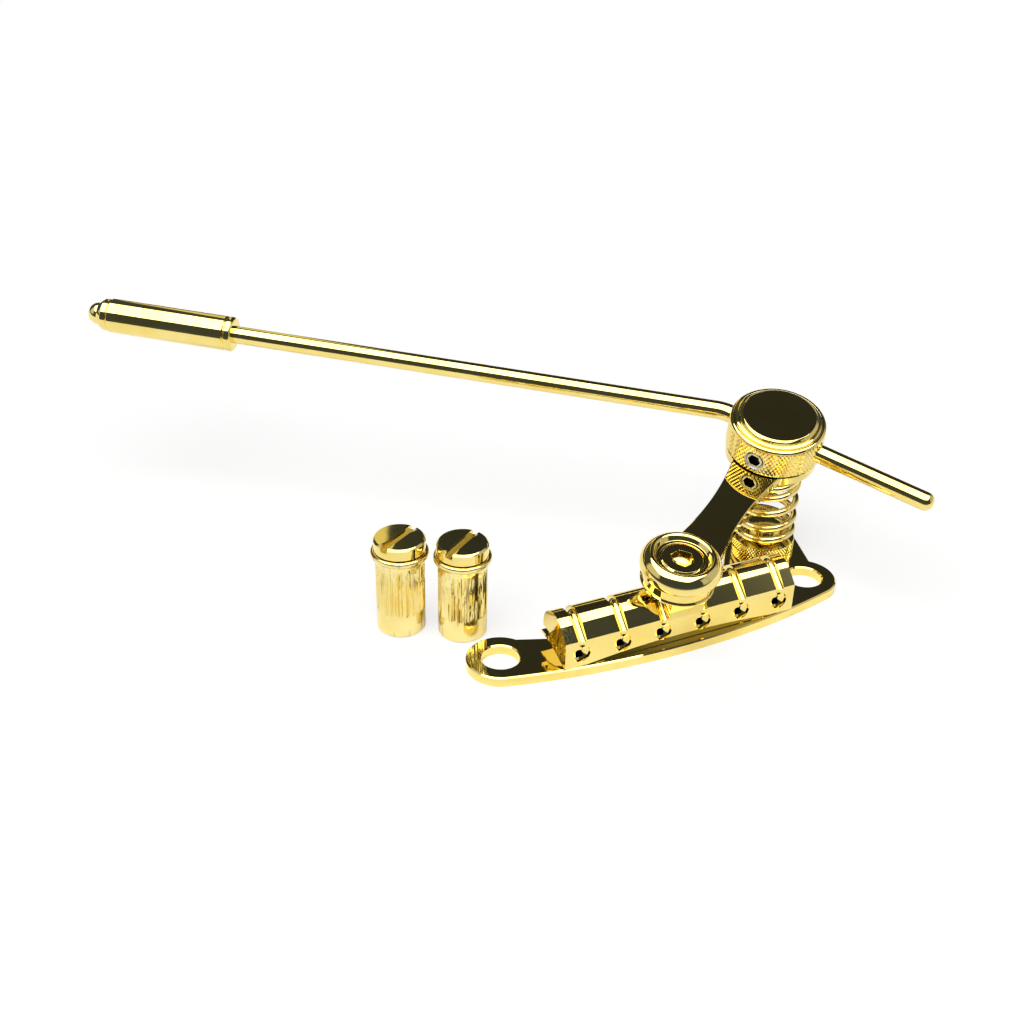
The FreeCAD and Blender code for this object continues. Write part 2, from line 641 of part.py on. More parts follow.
def arm_rod():
    # Round rod with one bend, its tail past the holder rounded off.
    setback = ARM_BEND_R * math.tan(arm_bend / 2)
    tail = rod_middle - arm_along * (ARM_TAIL - ROD_R)
    bend_in, bend_out = arm_corner - arm_along * setback, arm_corner + arm_far * setback
    inner = (arm_far - arm_along).normalize()
    bisect = ARM_BEND_R / math.cos(arm_bend / 2) - ARM_BEND_R
    middle = arm_corner + inner * bisect
    end = handle_place + arm_far * (handle_socket - RUNNING)
    rod = tube([
        Part.makeLine(tail, bend_in),
        Part.Arc(bend_in, middle, bend_out).toShape(),
        Part.makeLine(bend_out, end),
    ], ROD_R)
    return rod.fuse(Part.makeSphere(ROD_R, tail)).removeSplitter()


def arm_handle():
    # Straight sleeve with one fine line turned near its inner end.
    line_low, line_high = HANDLE_LINE_AT - HANDLE_LINE, HANDLE_LINE_AT + HANDLE_LINE
    bore = ROD_R + RUNNING
    return moved(turned([
        (bore, 0), (HANDLE_R - HANDLE_ROUND, 0), (HANDLE_R, HANDLE_ROUND, -quarter_sag(HANDLE_ROUND)),
        (HANDLE_R, line_low),
        (HANDLE_R - HANDLE_LINE, HANDLE_LINE_AT), (HANDLE_R, line_high), (HANDLE_R, HANDLE_LENGTH - EDGE),
        (HANDLE_R - EDGE, HANDLE_LENGTH), (TIP_SHANK_R + RUNNING, HANDLE_LENGTH),
        (TIP_SHANK_R + RUNNING, handle_socket), (bore, handle_socket),
    ]), handle_frame)


def handle_ring():
    return moved(turned([
        (TIP_SHANK_R + RUNNING, HANDLE_LENGTH), (COLLAR_R - EDGE, HANDLE_LENGTH),
        (COLLAR_R, HANDLE_LENGTH + EDGE), (COLLAR_R, HANDLE_LENGTH + COLLAR_STRAIGHT),
        (COLLAR_FACE_R, tip_foot), (TIP_SHANK_R + RUNNING, tip_foot),
    ]), handle_frame)


def handle_tip():
    # Domed button whose shank screws through the ring into the sleeve.
    ball = (TIP_R ** 2 + TIP_LENGTH ** 2) / (2 * TIP_LENGTH)
    half_chord = math.hypot(TIP_R, TIP_LENGTH) / 2
    sag = ball - math.sqrt(ball ** 2 - half_chord ** 2)
    return moved(turned([
        (0, tip_foot - TIP_SHANK), (TIP_SHANK_R, tip_foot - TIP_SHANK), (TIP_SHANK_R, tip_foot),
        (TIP_R, tip_foot), (0, tip_foot + TIP_LENGTH, -sag),
    ]), handle_frame)


def lever_under(x, y):
    # Height of the lever's underside over a point.
    point = holder_place - rise_up * LEVER_THICK
    return point.z - ((x - point.x) * rise_up.x + (y - point.y) * rise_up.y) / rise_up.z


def spring_height(turns):
    # Height of the wire's centre after some turns, on the spring's own axis.
    low = spring_foot + SPRING_REST + WIRE_R
    high = lever_under(SPRING_X, SPRING_BACK) - SPRING_REST - WIRE_R / rise_up.z
    whole = min(int(turns), len(PITCH_SHARES) - 1)
    done = sum(PITCH_SHARES[:whole]) + PITCH_SHARES[whole] * (turns - whole)
    return low + (high - low) * done


def spring_point(turns):
    # Point of the wire's centre, where the upper coils lean over to lie along the lever.
    angle = 2 * math.pi * turns
    x = SPRING_X + COIL_R * math.cos(angle)
    y = SPRING_BACK + COIL_R * math.sin(angle)
    share = turns / len(PITCH_SHARES)
    lean_share = max(0, share - TILT_SHARE) / (1 - TILT_SHARE)
    offset = lever_under(x, y) - lever_under(SPRING_X, SPRING_BACK)
    return FreeCAD.Vector(x, y, spring_height(turns) + lean_share * offset)


def biarc(start, start_way, end, end_way):
    # Two arcs that join smoothly from one point and direction to another.
    span, ways = end - start, start_way + end_way
    a, b, c = 4 - ways * ways, 2 * (span * ways), -(span * span)
    reach = (math.sqrt(b * b - 4 * a * c) - b) / (2 * a)
    first, second = start + start_way * reach, end - end_way * reach
    joint = (first + second) / 2
    arcs = []
    for left, knee, right in ((start, first, joint), (joint, second, end)):
        chord_middle = (left + right) / 2
        height, half = (knee - chord_middle).Length, (right - left).Length / 2
        rise = half * math.tan(math.atan2(height, half) / 2)
        crest = chord_middle + (knee - chord_middle).normalize() * rise
        arcs.append(Part.Arc(left, crest, right).toShape())
    return arcs


def return_spring():
    # One open-wound wire, a biarc for each quarter turn.
    steps = 4 * len(PITCH_SHARES)
    turns = [step / 4 for step in range(steps + 1)]
    points = [spring_point(turn) for turn in turns]
    ways = []
    for turn in turns:
        before, after = max(0, turn - 1 / 8), min(len(PITCH_SHARES), turn + 1 / 8)
        angle = 2 * math.pi * turn
        climb = (spring_point(after).z - spring_point(before).z) / ((after - before) * 2 * math.pi * COIL_R)
        ways.append(FreeCAD.Vector(-math.sin(angle), math.cos(angle), climb).normalize())
    arcs = []
    for step in range(steps):
        arcs += biarc(points[step], ways[step], points[step + 1], ways[step + 1])
    print("return_spring: least gap to itself %.2f mm" % spring_gap(arcs))
    return tube(arcs, WIRE_R)


def spring_gap(arcs):
    # Least air between turns, measured on points of the wire's centre a half turn or more apart.
    samples, points = 7, []
    for arc in arcs:
        points += arc.discretize(samples)[:-1]
    apart = len(points) // (2 * len(PITCH_SHARES))
    least = min(a.distanceToPoint(b) for i, a in enumerate(points) for b in points[i + apart:])
    return least - 2 * WIRE_R


def spring_seat():
    # Knurled cup with a boss that centres the spring, bored for its screw.
    top = spring_foot
    bore = SCREW_R + RUNNING
    screw_top = SEAT_SCREW_LENGTH + RUNNING
    seat = turned([
        (bore, PLATE_THICK), (SEAT_R - FINE_EDGE, PLATE_THICK), (SEAT_R, PLATE_THICK + FINE_EDGE),
        (SEAT_R, top - FINE_EDGE), (SEAT_R - FINE_EDGE, top), (SEAT_BOSS_R, top),
        (SEAT_BOSS_R, top + SEAT_BOSS - EDGE), (SEAT_BOSS_R - EDGE, top + SEAT_BOSS), (0, top + SEAT_BOSS),
        (0, screw_top), (bore, screw_top),
    ])
    seat.translate(flat(SPRING_X, SPRING_BACK))
    return seat


def seat_screw():
    screw = countersunk(SEAT_SCREW_HEAD_R, SCREW_R, SEAT_SCREW_CONE, SEAT_SCREW_LENGTH)
    screw = screw.cut(hexagon(GRUB_SOCKET, 0, SEAT_SCREW_CONE))
    screw.translate(flat(SPRING_X, SPRING_BACK))
    return screw


def bushing():
    # Body bushing with a flared flange, bored for the stud's shank.
    under = BUSH_HEIGHT - BUSH_FLANGE
    bore = STUD_R + RUNNING
    return turned([
        (0, 0), (BUSH_R - EDGE, 0), (BUSH_R, EDGE), (BUSH_R, under - BUSH_FLARE),
        (BUSH_FLANGE_R - FINE_EDGE, under, BUSH_FLARE_SAG), (BUSH_FLANGE_R, under + FINE_EDGE),
        (BUSH_FLANGE_R, BUSH_HEIGHT - BUSH_FLANGE_ROUND),
        (BUSH_FLANGE_R - BUSH_FLANGE_ROUND, BUSH_HEIGHT, -quarter_sag(BUSH_FLANGE_ROUND)),
        (bore, BUSH_HEIGHT), (bore, BUSH_HEIGHT - BUSH_BORE_DEPTH), (0, BUSH_HEIGHT - BUSH_BORE_DEPTH),
    ])


def stud(slot_turn):
    # Slotted stud screwed down until its neck meets the bushing.
    foot, neck = BUSH_HEIGHT - STUD_SHANK, BUSH_HEIGHT + STUD_NECK
    top = neck + STUD_HEAD
    body = turned([
        (0, foot), (STUD_R - EDGE, foot), (STUD_R, foot + EDGE), (STUD_R, BUSH_HEIGHT),
        (STUD_NECK_R, BUSH_HEIGHT), (STUD_NECK_R, neck), (STUD_HEAD_R - FINE_EDGE, neck),
        (STUD_HEAD_R, neck + FINE_EDGE),
        (STUD_HEAD_R, top - STUD_HEAD_EDGE), (STUD_HEAD_R - STUD_HEAD_EDGE, top), (0, top),
    ])
    reach = STUD_HEAD_R + OVERRUN
    slot_corner = FreeCAD.Vector(-reach, -STUD_SLOT / 2, top - STUD_SLOT_DEPTH)
    slot = Part.makeBox(2 * reach, STUD_SLOT, STUD_SLOT_DEPTH + OVERRUN, slot_corner)
    slot.rotate(origin, z_axis, slot_turn)
    return body.cut(slot)


def standing(shape, x, back):
    shape.translate(flat(x, back))
    return shape


nodes = {
    "base_plate": base_plate(),
    "pivot_lugs": pivot_lugs(),
    "pivot_pins": pivot_pins(),
    "string_bar": string_bar(),
    "lever_post": lever_post(),
    "lever_plate": lever_plate(),
    "clamp_knob": clamp_knob(),
    "clamp_screw": clamp_screw(),
    "arm_holder": arm_holder(),
    "holder_cap": holder_cap(),
    "holder_washer": holder_washer(),
    "holder_screw": holder_screw(),
    "arm_grub_screw": arm_grub_screw(),
    "arm_rod": arm_rod(),
    "arm_handle": arm_handle(),
    "handle_ring": handle_ring(),
    "handle_tip": handle_tip(),
    "return_spring": return_spring(),
    "spring_seat": spring_seat(),
    "seat_screw": seat_screw(),
    "stud_left": standing(stud(LEFT_SLOT_TURN), LEFT_STUD_X, LEFT_STUD_BACK),
    "stud_right": standing(stud(RIGHT_SLOT_TURN), RIGHT_STUD_X, RIGHT_STUD_BACK),
    "bushing_left": standing(bushing(), LEFT_STUD_X, LEFT_STUD_BACK),
    "bushing_right": standing(bushing(), RIGHT_STUD_X, RIGHT_STUD_BACK),
}

os.makedirs("parts", exist_ok=True)
for name, shape in nodes.items():
    shape.exportStep("parts/" + name + ".step")
    state = "valid" if shape.isValid() else "NOT VALID"
    print("%s: %d solid(s), %.1f mm3, %s" % (name, len(shape.Solids), shape.Volume, state))
for label, place in (("holder", holder_place), ("rod", rod_middle), ("handle", handle_place)):
    print(label, "at", [round(value, 4) for value in place])
print("holder axis", [round(value, 7) for value in rise_up])
print("arm slide", [round(value, 7) for value in arm_along])
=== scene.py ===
import math
import random
import bmesh
import bpy
from mathutils import Matrix, Vector


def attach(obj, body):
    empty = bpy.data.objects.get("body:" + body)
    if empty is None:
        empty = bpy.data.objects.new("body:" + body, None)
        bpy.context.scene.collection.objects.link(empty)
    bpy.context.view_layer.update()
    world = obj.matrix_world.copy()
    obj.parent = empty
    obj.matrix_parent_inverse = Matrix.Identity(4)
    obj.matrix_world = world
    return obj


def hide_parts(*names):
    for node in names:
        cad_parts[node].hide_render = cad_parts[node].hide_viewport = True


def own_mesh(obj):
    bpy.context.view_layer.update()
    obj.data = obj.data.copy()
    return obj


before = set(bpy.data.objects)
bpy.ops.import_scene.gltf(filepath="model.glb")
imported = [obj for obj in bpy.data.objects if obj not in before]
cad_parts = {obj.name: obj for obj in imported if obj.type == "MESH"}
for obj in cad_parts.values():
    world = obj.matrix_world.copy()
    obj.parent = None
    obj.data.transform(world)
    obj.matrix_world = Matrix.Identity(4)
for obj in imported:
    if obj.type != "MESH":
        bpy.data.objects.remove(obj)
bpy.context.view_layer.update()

# Camera, in metres
shot = {
    "place": (-0.14968, -0.23037, 0.19255),
    "look": (0.37193, 0.77358, -0.51306),
    "level": (0.9013, -0.4333, 0.0),  # the picture's right, before the roll
    "roll": 1.283,  # degrees
    "lens": 49.58,  # mm on a 36 mm sensor
}


def makeCamera():
    data = bpy.data.cameras.new("shotCamera")
    data.lens = shot["lens"]
    data.sensor_width = 36.0
    data.clip_start = 0.005
    data.clip_end = 20.0
    camera = bpy.data.objects.new("shotCamera", data)
    bpy.context.scene.collection.objects.link(camera)
    look = Vector(shot["look"]).normalized()
    level = Vector(shot["level"]).normalized()
    up = level.cross(look)
    turn = math.radians(shot["roll"])
    right = level * math.cos(turn) + up * math.sin(turn)
    up = up * math.cos(turn) - level * math.sin(turn)
    axes = Matrix((right, up, -look)).transposed().to_4x4()
    camera.matrix_world = Matrix.Translation(Vector(shot["place"])) @ axes
    bpy.context.scene.camera = camera


makeCamera()
print("camera placed")


# Shapes are built in millimetres and put in place in metres
def axisFrame(place, up=(0, 0, 1), along=(1, 0, 0)):
    up = Vector(up).normalized()
    side = up.cross(Vector(along)).normalized()
    axes = Matrix((side.cross(up), side, up)).transposed().to_4x4()
    return Matrix.Translation(Vector(place) * 0.001) @ axes @ Matrix.Scale(0.001, 4)


def linked(obj):
    bpy.context.scene.collection.objects.link(obj)
    return obj


def meshObject(name, shape, place=None):
    if place:
        bmesh.ops.transform(shape, matrix=place, verts=shape.verts)
    mesh = bpy.data.meshes.new(name)
    shape.to_mesh(mesh)
    shape.free()
    for face in mesh.polygons:
        face.use_smooth = True
    return linked(bpy.data.objects.new(name, mesh))


def arcOf(start, end, bow, steps=12):  # points after the start, bowed to the right of the way for a positive bow
    first, last = Vector(start), Vector(end)
    chord = last - first
    radius = (chord.length ** 2 / 4 + bow ** 2) / (2 * abs(bow))
    away = Vector((chord.y, -chord.x)).normalized() * (1 if bow > 0 else -1)
    centre = (first + last) / 2 + away * (abs(bow) - radius)
    begin = math.atan2(*reversed(first - centre))
    sweep = (math.atan2(*reversed(last - centre)) - begin + math.pi) % math.tau - math.pi
    turns = [begin + sweep * step / steps for step in range(1, steps + 1)]
    return [(centre.x + radius * math.cos(turn), centre.y + radius * math.sin(turn)) for turn in turns]


def spunShape(profile, steps=128, ring=False):  # profile of (radius, height) round Z
    shape = bmesh.new()
    line = [shape.verts.new((radius, 0, height)) for radius, height in profile]
    wire = [shape.edges.new(pair) for pair in zip(line, line[1:])]
    if ring:
        wire.append(shape.edges.new((line[-1], line[0])))
    bmesh.ops.spin(shape, geom=line + wire, cent=(0, 0, 0), axis=(0, 0, 1), angle=math.tau, steps=steps, use_merge=True)
    bmesh.ops.remove_doubles(shape, verts=shape.verts, dist=0.0001)
    bmesh.ops.recalc_face_normals(shape, faces=shape.faces)
    return shape


def barrel(radius, low, high, segments=48):  # capped cylinder on Z
    shape = bmesh.new()
    lift = Matrix.Translation((0, 0, (low + high) / 2))
    bmesh.ops.create_cone(
        shape, cap_ends=True, segments=segments, radius1=radius, radius2=radius, depth=high - low, matrix=lift)
    return shape


def block(size, middle, turn=0.0):
    shape = bmesh.new()
    bmesh.ops.create_cube(shape, size=1.0)
    bmesh.ops.scale(shape, vec=size, verts=shape.verts)
    bmesh.ops.rotate(shape, cent=(0, 0, 0), matrix=Matrix.Rotation(math.radians(turn), 3, "Z"), verts=shape.verts)
    bmesh.ops.translate(shape, vec=middle, verts=shape.verts)
    return shape


def cutAway(piece, shape, place):  # takes the shape out of the piece
    tool = meshObject("cutter", shape, place)
    cut = piece.modifiers.new("cut", "BOOLEAN")
    cut.object = tool
    cut.operation = "DIFFERENCE"
    cut.solver = "EXACT"
    graph = bpy.context.evaluated_depsgraph_get()
    whole = piece.data
    piece.data = bpy.data.meshes.new_from_object(piece.evaluated_get(graph))
    piece.modifiers.clear()
    piece.data.name = piece.name
    bpy.data.meshes.remove(whole)
    bpy.data.meshes.remove(tool.data)


def softEdges(piece, width, segments=3, sharper=28.0, flat=False):
    for face in piece.data.polygons:
        face.use_smooth = True
    bevel = piece.modifiers.new("softEdges", "BEVEL")
    bevel.harden_normals = flat
    bevel.width = width * 0.001
    bevel.segments = segments
    bevel.limit_method = "ANGLE"
    bevel.angle_limit = math.radians(sharper)
    piece.modifiers.new("evenNormals", "WEIGHTED_NORMAL").keep_sharp = True


def standIn(piece, body, node, paint):  # the piece takes the CAD node's place
    piece.data.materials.clear()
    piece.data.materials.append(paint)
    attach(piece, body)
    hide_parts(node)
    return piece


def smoothCopy(name, node, crisp=24.0):  # same shape as the CAD node, with its facets shaded as one surface
    shape = bmesh.new()
    shape.from_mesh(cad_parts[node].data)
    bmesh.ops.remove_doubles(shape, verts=shape.verts, dist=0.000002)
    bmesh.ops.dissolve_limit(shape, angle_limit=math.radians(0.6), verts=shape.verts, edges=shape.edges)
    piece = meshObject(name, shape)
    piece.data.set_sharp_from_angle(angle=math.radians(crisp))
    piece.modifiers.new("evenNormals", "WEIGHTED_NORMAL").keep_sharp = True
    return piece


# Studio: white floor, wide soft panel overhead, and a dim room that only the plating sees
studio = {
    "floorRadius": 3.0,
    "floorColour": (0.93, 0.93, 0.93, 1.0),
    "floorFar": (0.055, 0.062, 0.08, 1.0),  # how the plating sees the floor past the paper
    "paperWay": (0.43, 0.90, 0.0),
    "paperEdge": (-0.10, -0.045),  # where the paper fades out, measured along that way
    "paperWhite": 0.72,  # share of plain white in the floor, for the camera alone
    "fill": 0.25,  # world light on matt surfaces
    "sunFrom": (-0.28, -0.20, 1.0),
    "sunWidth": 50.0,  # degrees across, for a soft shadow
    "sunGlow": 2.75,
    "panelCentre": (-0.219, -0.26, 1.0),
    "panelSize": (1.88, 1.46),
    "panelTurn": -40.0,
    "panelCorner": 0.32,
    "panelGlow": 3.4,
    "roomRadius": 4.0,
    "roomDark": (0.052, 0.061, 0.082, 1.0),
    "wallFade": (3, 4),  # degrees over which a wall's foot and head fade
}
walls = [  # paler parts of the room: middle bearing, half width, softness, lowest and highest rise in degrees, colour
    (48.0, 22.0, 6.0, 8.0, 75.0, (0.028, 0.030, 0.036, 1.0)),
    (-18.0, 24.0, 10.0, -14.0, 50.0, (0.56, 0.56, 0.60, 1.0)),
    (-49.0, 9.0, 2.0, -14.0, 35.0, (0.56, 0.56, 0.60, 1.0)),
    (163.0, 24.0, 5.0, 8.0, 50.0, (0.68, 0.67, 0.68, 1.0)),
    (75.3, 4.0, 0.15, 14.0, 52.0, (0.80, 0.72, 0.40, 1.0)),
]


class Nodes:
    def __init__(self, name, world=None):
        if world:
            world.use_nodes = True
            self.tree = world.node_tree
        else:
            self.material = bpy.data.materials.new(name)
            self.material.use_nodes = True
            self.tree = self.material.node_tree
        self.tree.nodes.clear()

    def add(self, kind, inputs=(), **settings):
        node = self.tree.nodes.new(kind)
        for key, value in settings.items():
            setattr(node, key, value)
        for socket, value in dict(inputs).items():
            if isinstance(value, bpy.types.NodeSocket):
                self.tree.links.new(value, node.inputs[socket])
            else:
                node.inputs[socket].default_value = value
        return node

    def sum(self, kind, first, second, clamp=False):
        return self.add("ShaderNodeMath", {0: first, 1: second}, operation=kind, use_clamp=clamp).outputs[0]

    def span(self, value, low, high, start, end, way="LINEAR"):
        ends = {"Value": value, "From Min": low, "From Max": high, "To Min": start, "To Max": end}
        return self.add("ShaderNodeMapRange", ends, interpolation_type=way).outputs[0]

    def along(self, way, axis):  # how far a direction or place reaches along an axis
        return self.add("ShaderNodeVectorMath", {0: way, 1: axis}, operation="DOT_PRODUCT").outputs["Value"]

    def blend(self, factor, first, second):
        node = self.add("ShaderNodeMix", data_type="RGBA")
        sockets = [socket for socket in node.inputs if socket.enabled]
        for socket, value in zip(sockets, (factor, first, second)):
            if isinstance(value, bpy.types.NodeSocket):
                self.tree.links.new(value, socket)
            else:
                socket.default_value = value
        return [socket for socket in node.outputs if socket.enabled][0]


def makeWorld():
    world = bpy.data.worlds.new("paleRoom")
    bpy.context.scene.world = world
    net = Nodes("paleRoom", world)
    path = net.add("ShaderNodeLightPath")
    seen = net.sum("MAXIMUM", path.outputs["Is Camera Ray"], path.outputs["Is Glossy Ray"])
    seen = net.sum("MAXIMUM", seen, path.outputs["Is Transmission Ray"])
    strength = net.span(seen, 0.0, 1.0, studio["fill"], 1.0)
    back = net.add("ShaderNodeBackground", {"Color": (1, 1, 1, 1), "Strength": strength})
    net.add("ShaderNodeOutputWorld", {"Surface": back.outputs[0]})


def makeFloor():
    shape = bmesh.new()
    bmesh.ops.create_circle(shape, cap_ends=True, segments=96, radius=studio["floorRadius"])
    floor = meshObject("floor", shape)
    net = Nodes("floorPaint")
    place = net.add("ShaderNodeTexCoord").outputs["Object"]
    path = net.add("ShaderNodeLightPath")
    beyond = net.span(net.along(place, studio["paperWay"]), *studio["paperEdge"], 1.0, 0.0, "SMOOTHSTEP")
    mirrored = net.sum("MULTIPLY", beyond, path.outputs["Is Glossy Ray"])
    matt = net.add("ShaderNodeBsdfDiffuse", {"Color": net.blend(mirrored, studio["floorColour"], studio["floorFar"])})
    white = net.add("ShaderNodeEmission", {"Color": (1, 1, 1, 1), "Strength": 1.0})
    seen = net.sum("MULTIPLY", path.outputs["Is Camera Ray"], studio["paperWhite"])
    surface = net.add("ShaderNodeMixShader", {0: seen, 1: matt.outputs[0], 2: white.outputs[0]})
    net.add("ShaderNodeOutputMaterial", {"Surface": surface.outputs[0]})
    floor.data.materials.append(net.material)


def onlyMirrored(piece):
    piece.visible_camera = False
    piece.visible_diffuse = False
    piece.visible_transmission = False
    piece.visible_volume_scatter = False
    piece.visible_shadow = False


def makeRoom():
    shape = bmesh.new()
    bmesh.ops.create_icosphere(shape, subdivisions=4, radius=studio["roomRadius"])
    bmesh.ops.reverse_faces(shape, faces=shape.faces)
    room = meshObject("dimRoom", shape)
    net = Nodes("roomPaint")
    place = net.add("ShaderNodeTexCoord").outputs["Object"]
    way = net.add("ShaderNodeVectorMath", {0: place}, operation="NORMALIZE").outputs["Vector"]
    height = net.add("ShaderNodeSeparateXYZ", {0: way}).outputs["Z"]
    colour = studio["roomDark"]
    footFade, headFade = studio["wallFade"]
    for bearing, half, soft, low, high, paint in walls:
        turn = math.radians(bearing)
        ahead = net.along(way, (math.cos(turn), math.sin(turn), 0))
        aside = net.along(way, (-math.sin(turn), math.cos(turn), 0))
        off = net.sum("ABSOLUTE", net.sum("ARCTAN2", aside, ahead), 0.0)
        near = net.span(off, math.radians(half - soft), math.radians(half + soft), 1.0, 0.0, "SMOOTHSTEP")
        foot = [math.sin(math.radians(rise)) for rise in (low - footFade, low + footFade)]
        head = [math.sin(math.radians(rise)) for rise in (high - headFade, high + headFade)]
        above = net.span(height, *foot, 0.0, 1.0, "SMOOTHSTEP")
        below = net.span(height, *head, 1.0, 0.0, "SMOOTHSTEP")
        colour = net.blend(net.sum("MULTIPLY", near, net.sum("MULTIPLY", above, below)), colour, paint)
    glow = net.add("ShaderNodeEmission", {"Color": colour, "Strength": 1.0})
    net.add("ShaderNodeOutputMaterial", {"Surface": glow.outputs[0]})
    room.data.materials.append(net.material)
    onlyMirrored(room)


def makePanel():  # soft light overhead as the plating mirrors it
    wide, deep = studio["panelSize"]
    shape = bmesh.new()
    bmesh.ops.create_grid(shape, x_segments=1, y_segments=1, size=0.5)
    bmesh.ops.scale(shape, vec=(wide, deep, 1), verts=shape.verts)
    bmesh.ops.bevel(
        shape, geom=shape.verts[:], offset=studio["panelCorner"], segments=8, profile=0.5, affect="VERTICES", material=-1)
    turn = Matrix.Rotation(math.radians(studio["panelTurn"]), 4, "Z")
    panel = meshObject("softPanel", shape, Matrix.Translation(studio["panelCentre"]) @ turn)
    net = Nodes("panelGlow")
    glow = net.add("ShaderNodeEmission", {"Color": (1, 1, 1, 1), "Strength": studio["panelGlow"]})
    net.add("ShaderNodeOutputMaterial", {"Surface": glow.outputs[0]})
    panel.data.materials.append(net.material)
    onlyMirrored(panel)


def makeSun():
    sun = bpy.data.lights.new("softSun", "SUN")  # lights the matt surfaces and gives the shadow
    sun.angle = math.radians(studio["sunWidth"])
    sun.energy = studio["sunGlow"]
    shade = linked(bpy.data.objects.new("softSun", sun))
    shade.rotation_euler = (-Vector(studio["sunFrom"])).to_track_quat("-Z", "Y").to_euler()
    shade.visible_glossy = False


makeWorld()
makeFloor()
makeRoom()
makePanel()
makeSun()
bpy.context.scene.view_settings.view_transform = "Standard"
print("studio lit")

# Finishes
plating = {
    "bright": (0.93, 0.76, 0.27, 1.0),
    "deep": (0.90, 0.70, 0.20, 1.0),
    "cloudSize": 120.0,  # patches per metre
    "waveSize": 170.0,
    "waveHeight": 0.004,  # mm
    "streakHeight": 0.03,
}


def metal(name, bright, deep, rough, grain=2400.0, streak=None, fleck=None):
    net = Nodes(name)
    place = net.add("ShaderNodeTexCoord").outputs["Object"]
    cloud = {"Vector": place, "Scale": plating["cloudSize"], "Detail": 3.0}
    cloud = net.add("ShaderNodeTexNoise", cloud).outputs["Fac"]
    colour = net.blend(net.span(cloud, 0.35, 0.65, 0.0, 1.0), bright, deep)
    fine = net.add("ShaderNodeTexNoise", {"Vector": place, "Scale": grain, "Detail": 2.0}).outputs["Fac"]
    roughness = net.span(fine, 0.3, 0.7, *rough)
    swell = {"Vector": place, "Scale": plating["waveSize"], "Detail": 1.0}
    swell = net.add("ShaderNodeTexNoise", swell).outputs["Fac"]
    relief = net.add("ShaderNodeBump", {
        "Height": swell, "Strength": 1.0, "Distance": plating["waveHeight"] * 0.001})
    if streak:
        lines = net.add("ShaderNodeMapping", {"Vector": place, "Scale": streak})
        lines = net.add("ShaderNodeTexNoise", {"Vector": lines.outputs[0], "Scale": 1.0, "Detail": 3.0}).outputs["Fac"]
        relief = net.add("ShaderNodeBump", {
            "Height": lines, "Strength": 1.0, "Distance": plating["streakHeight"] * 0.001, "Normal": relief.outputs[0]})
        if fleck:
            colour = net.blend(net.span(lines, 0.60, 0.72, 0.0, 1.0), colour, fleck)
    shader = net.add("ShaderNodeBsdfPrincipled", {
        "Base Color": colour, "Roughness": roughness, "Normal": relief.outputs[0]})
    shader.inputs["Metallic"].default_value = 1.0
    net.add("ShaderNodeOutputMaterial", {"Surface": shader.outputs[0]})
    return net.material


mirrorGold = metal("mirrorGold", plating["bright"], plating["deep"], (0.02, 0.05))
knurlGold = metal("knurlGold", plating["bright"], plating["deep"], (0.06, 0.14), grain=3200.0)
wireGold = metal("wireGold", (0.92, 0.77, 0.33, 1.0), (0.88, 0.70, 0.25, 1.0), (0.05, 0.12))
ribGold = metal(
    "ribGold", (0.93, 0.80, 0.36, 1.0), (0.88, 0.70, 0.24, 1.0), (0.10, 0.22),
    streak=(900.0, 900.0, 120.0), fleck=(0.55, 0.38, 0.14, 1.0))
machinedSteel = metal("machinedSteel", (0.62, 0.61, 0.59, 1.0), (0.52, 0.51, 0.49, 1.0), (0.18, 0.3))
# painted highlight: pale rough steel for the light caught round the grub screw
paintedHighlightSteel = metal("paintedHighlightSteel", (0.90, 0.89, 0.84, 1.0), (0.84, 0.82, 0.76, 1.0), (0.5, 0.6))
blackedSteel = metal("blackedSteel", (0.10, 0.10, 0.10, 1.0), (0.07, 0.07, 0.07, 1.0), (0.25, 0.4))

bareSteel = ("pivot_pins", "holder_washer", "holder_screw", "seat_screw")  # the CAD pieces that stay as they are
for name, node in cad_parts.items():
    node.data.materials.clear()
    node.data.materials.append(machinedSteel if name in bareSteel else mirrorGold)
print("finishes mixed")

# Places and directions, in mm
tilt = {
    "clampUp": (0, -math.sin(math.radians(11)), math.cos(math.radians(11))),
    "clampFoot": (0.4, -6.1509, 18.3218),  # where the knob stands on the lever
    "holderUp": (-0.109903, -0.2613547, 0.9589656),
    "holderFoot": (41.8985, 20.0824, 28.9585),
    "rodMiddle": (41.4754, 19.0762, 32.6505),
    "rodAlong": (-0.5260308, 0.8359208, 0.1566143),
    "handleFoot": (-69.079, 106.2659, 42.2955),
}
rodMiddle, rodAlong = Vector(tilt["rodMiddle"]), Vector(tilt["rodAlong"]).normalized()
rodSide = Vector(tilt["holderUp"]).cross(rodAlong).normalized()
clampFrame = axisFrame(tilt["clampFoot"], tilt["clampUp"])
holderFrame = axisFrame(tilt["holderFoot"], tilt["holderUp"])
grubFrame = axisFrame(rodMiddle, rodSide, Vector(tilt["holderUp"]))

# Flat pieces keep their CAD shape
for name, node, body in (
        ("mountingPlate", "base_plate", "base"), ("leverPost", "lever_post", "bar"),
        ("springLever", "lever_plate", "bar"), ("pivotLugs", "pivot_lugs", "base")):
    standIn(smoothCopy(name, node), body, node, mirrorGold)
print("plate, post and lever smoothed")

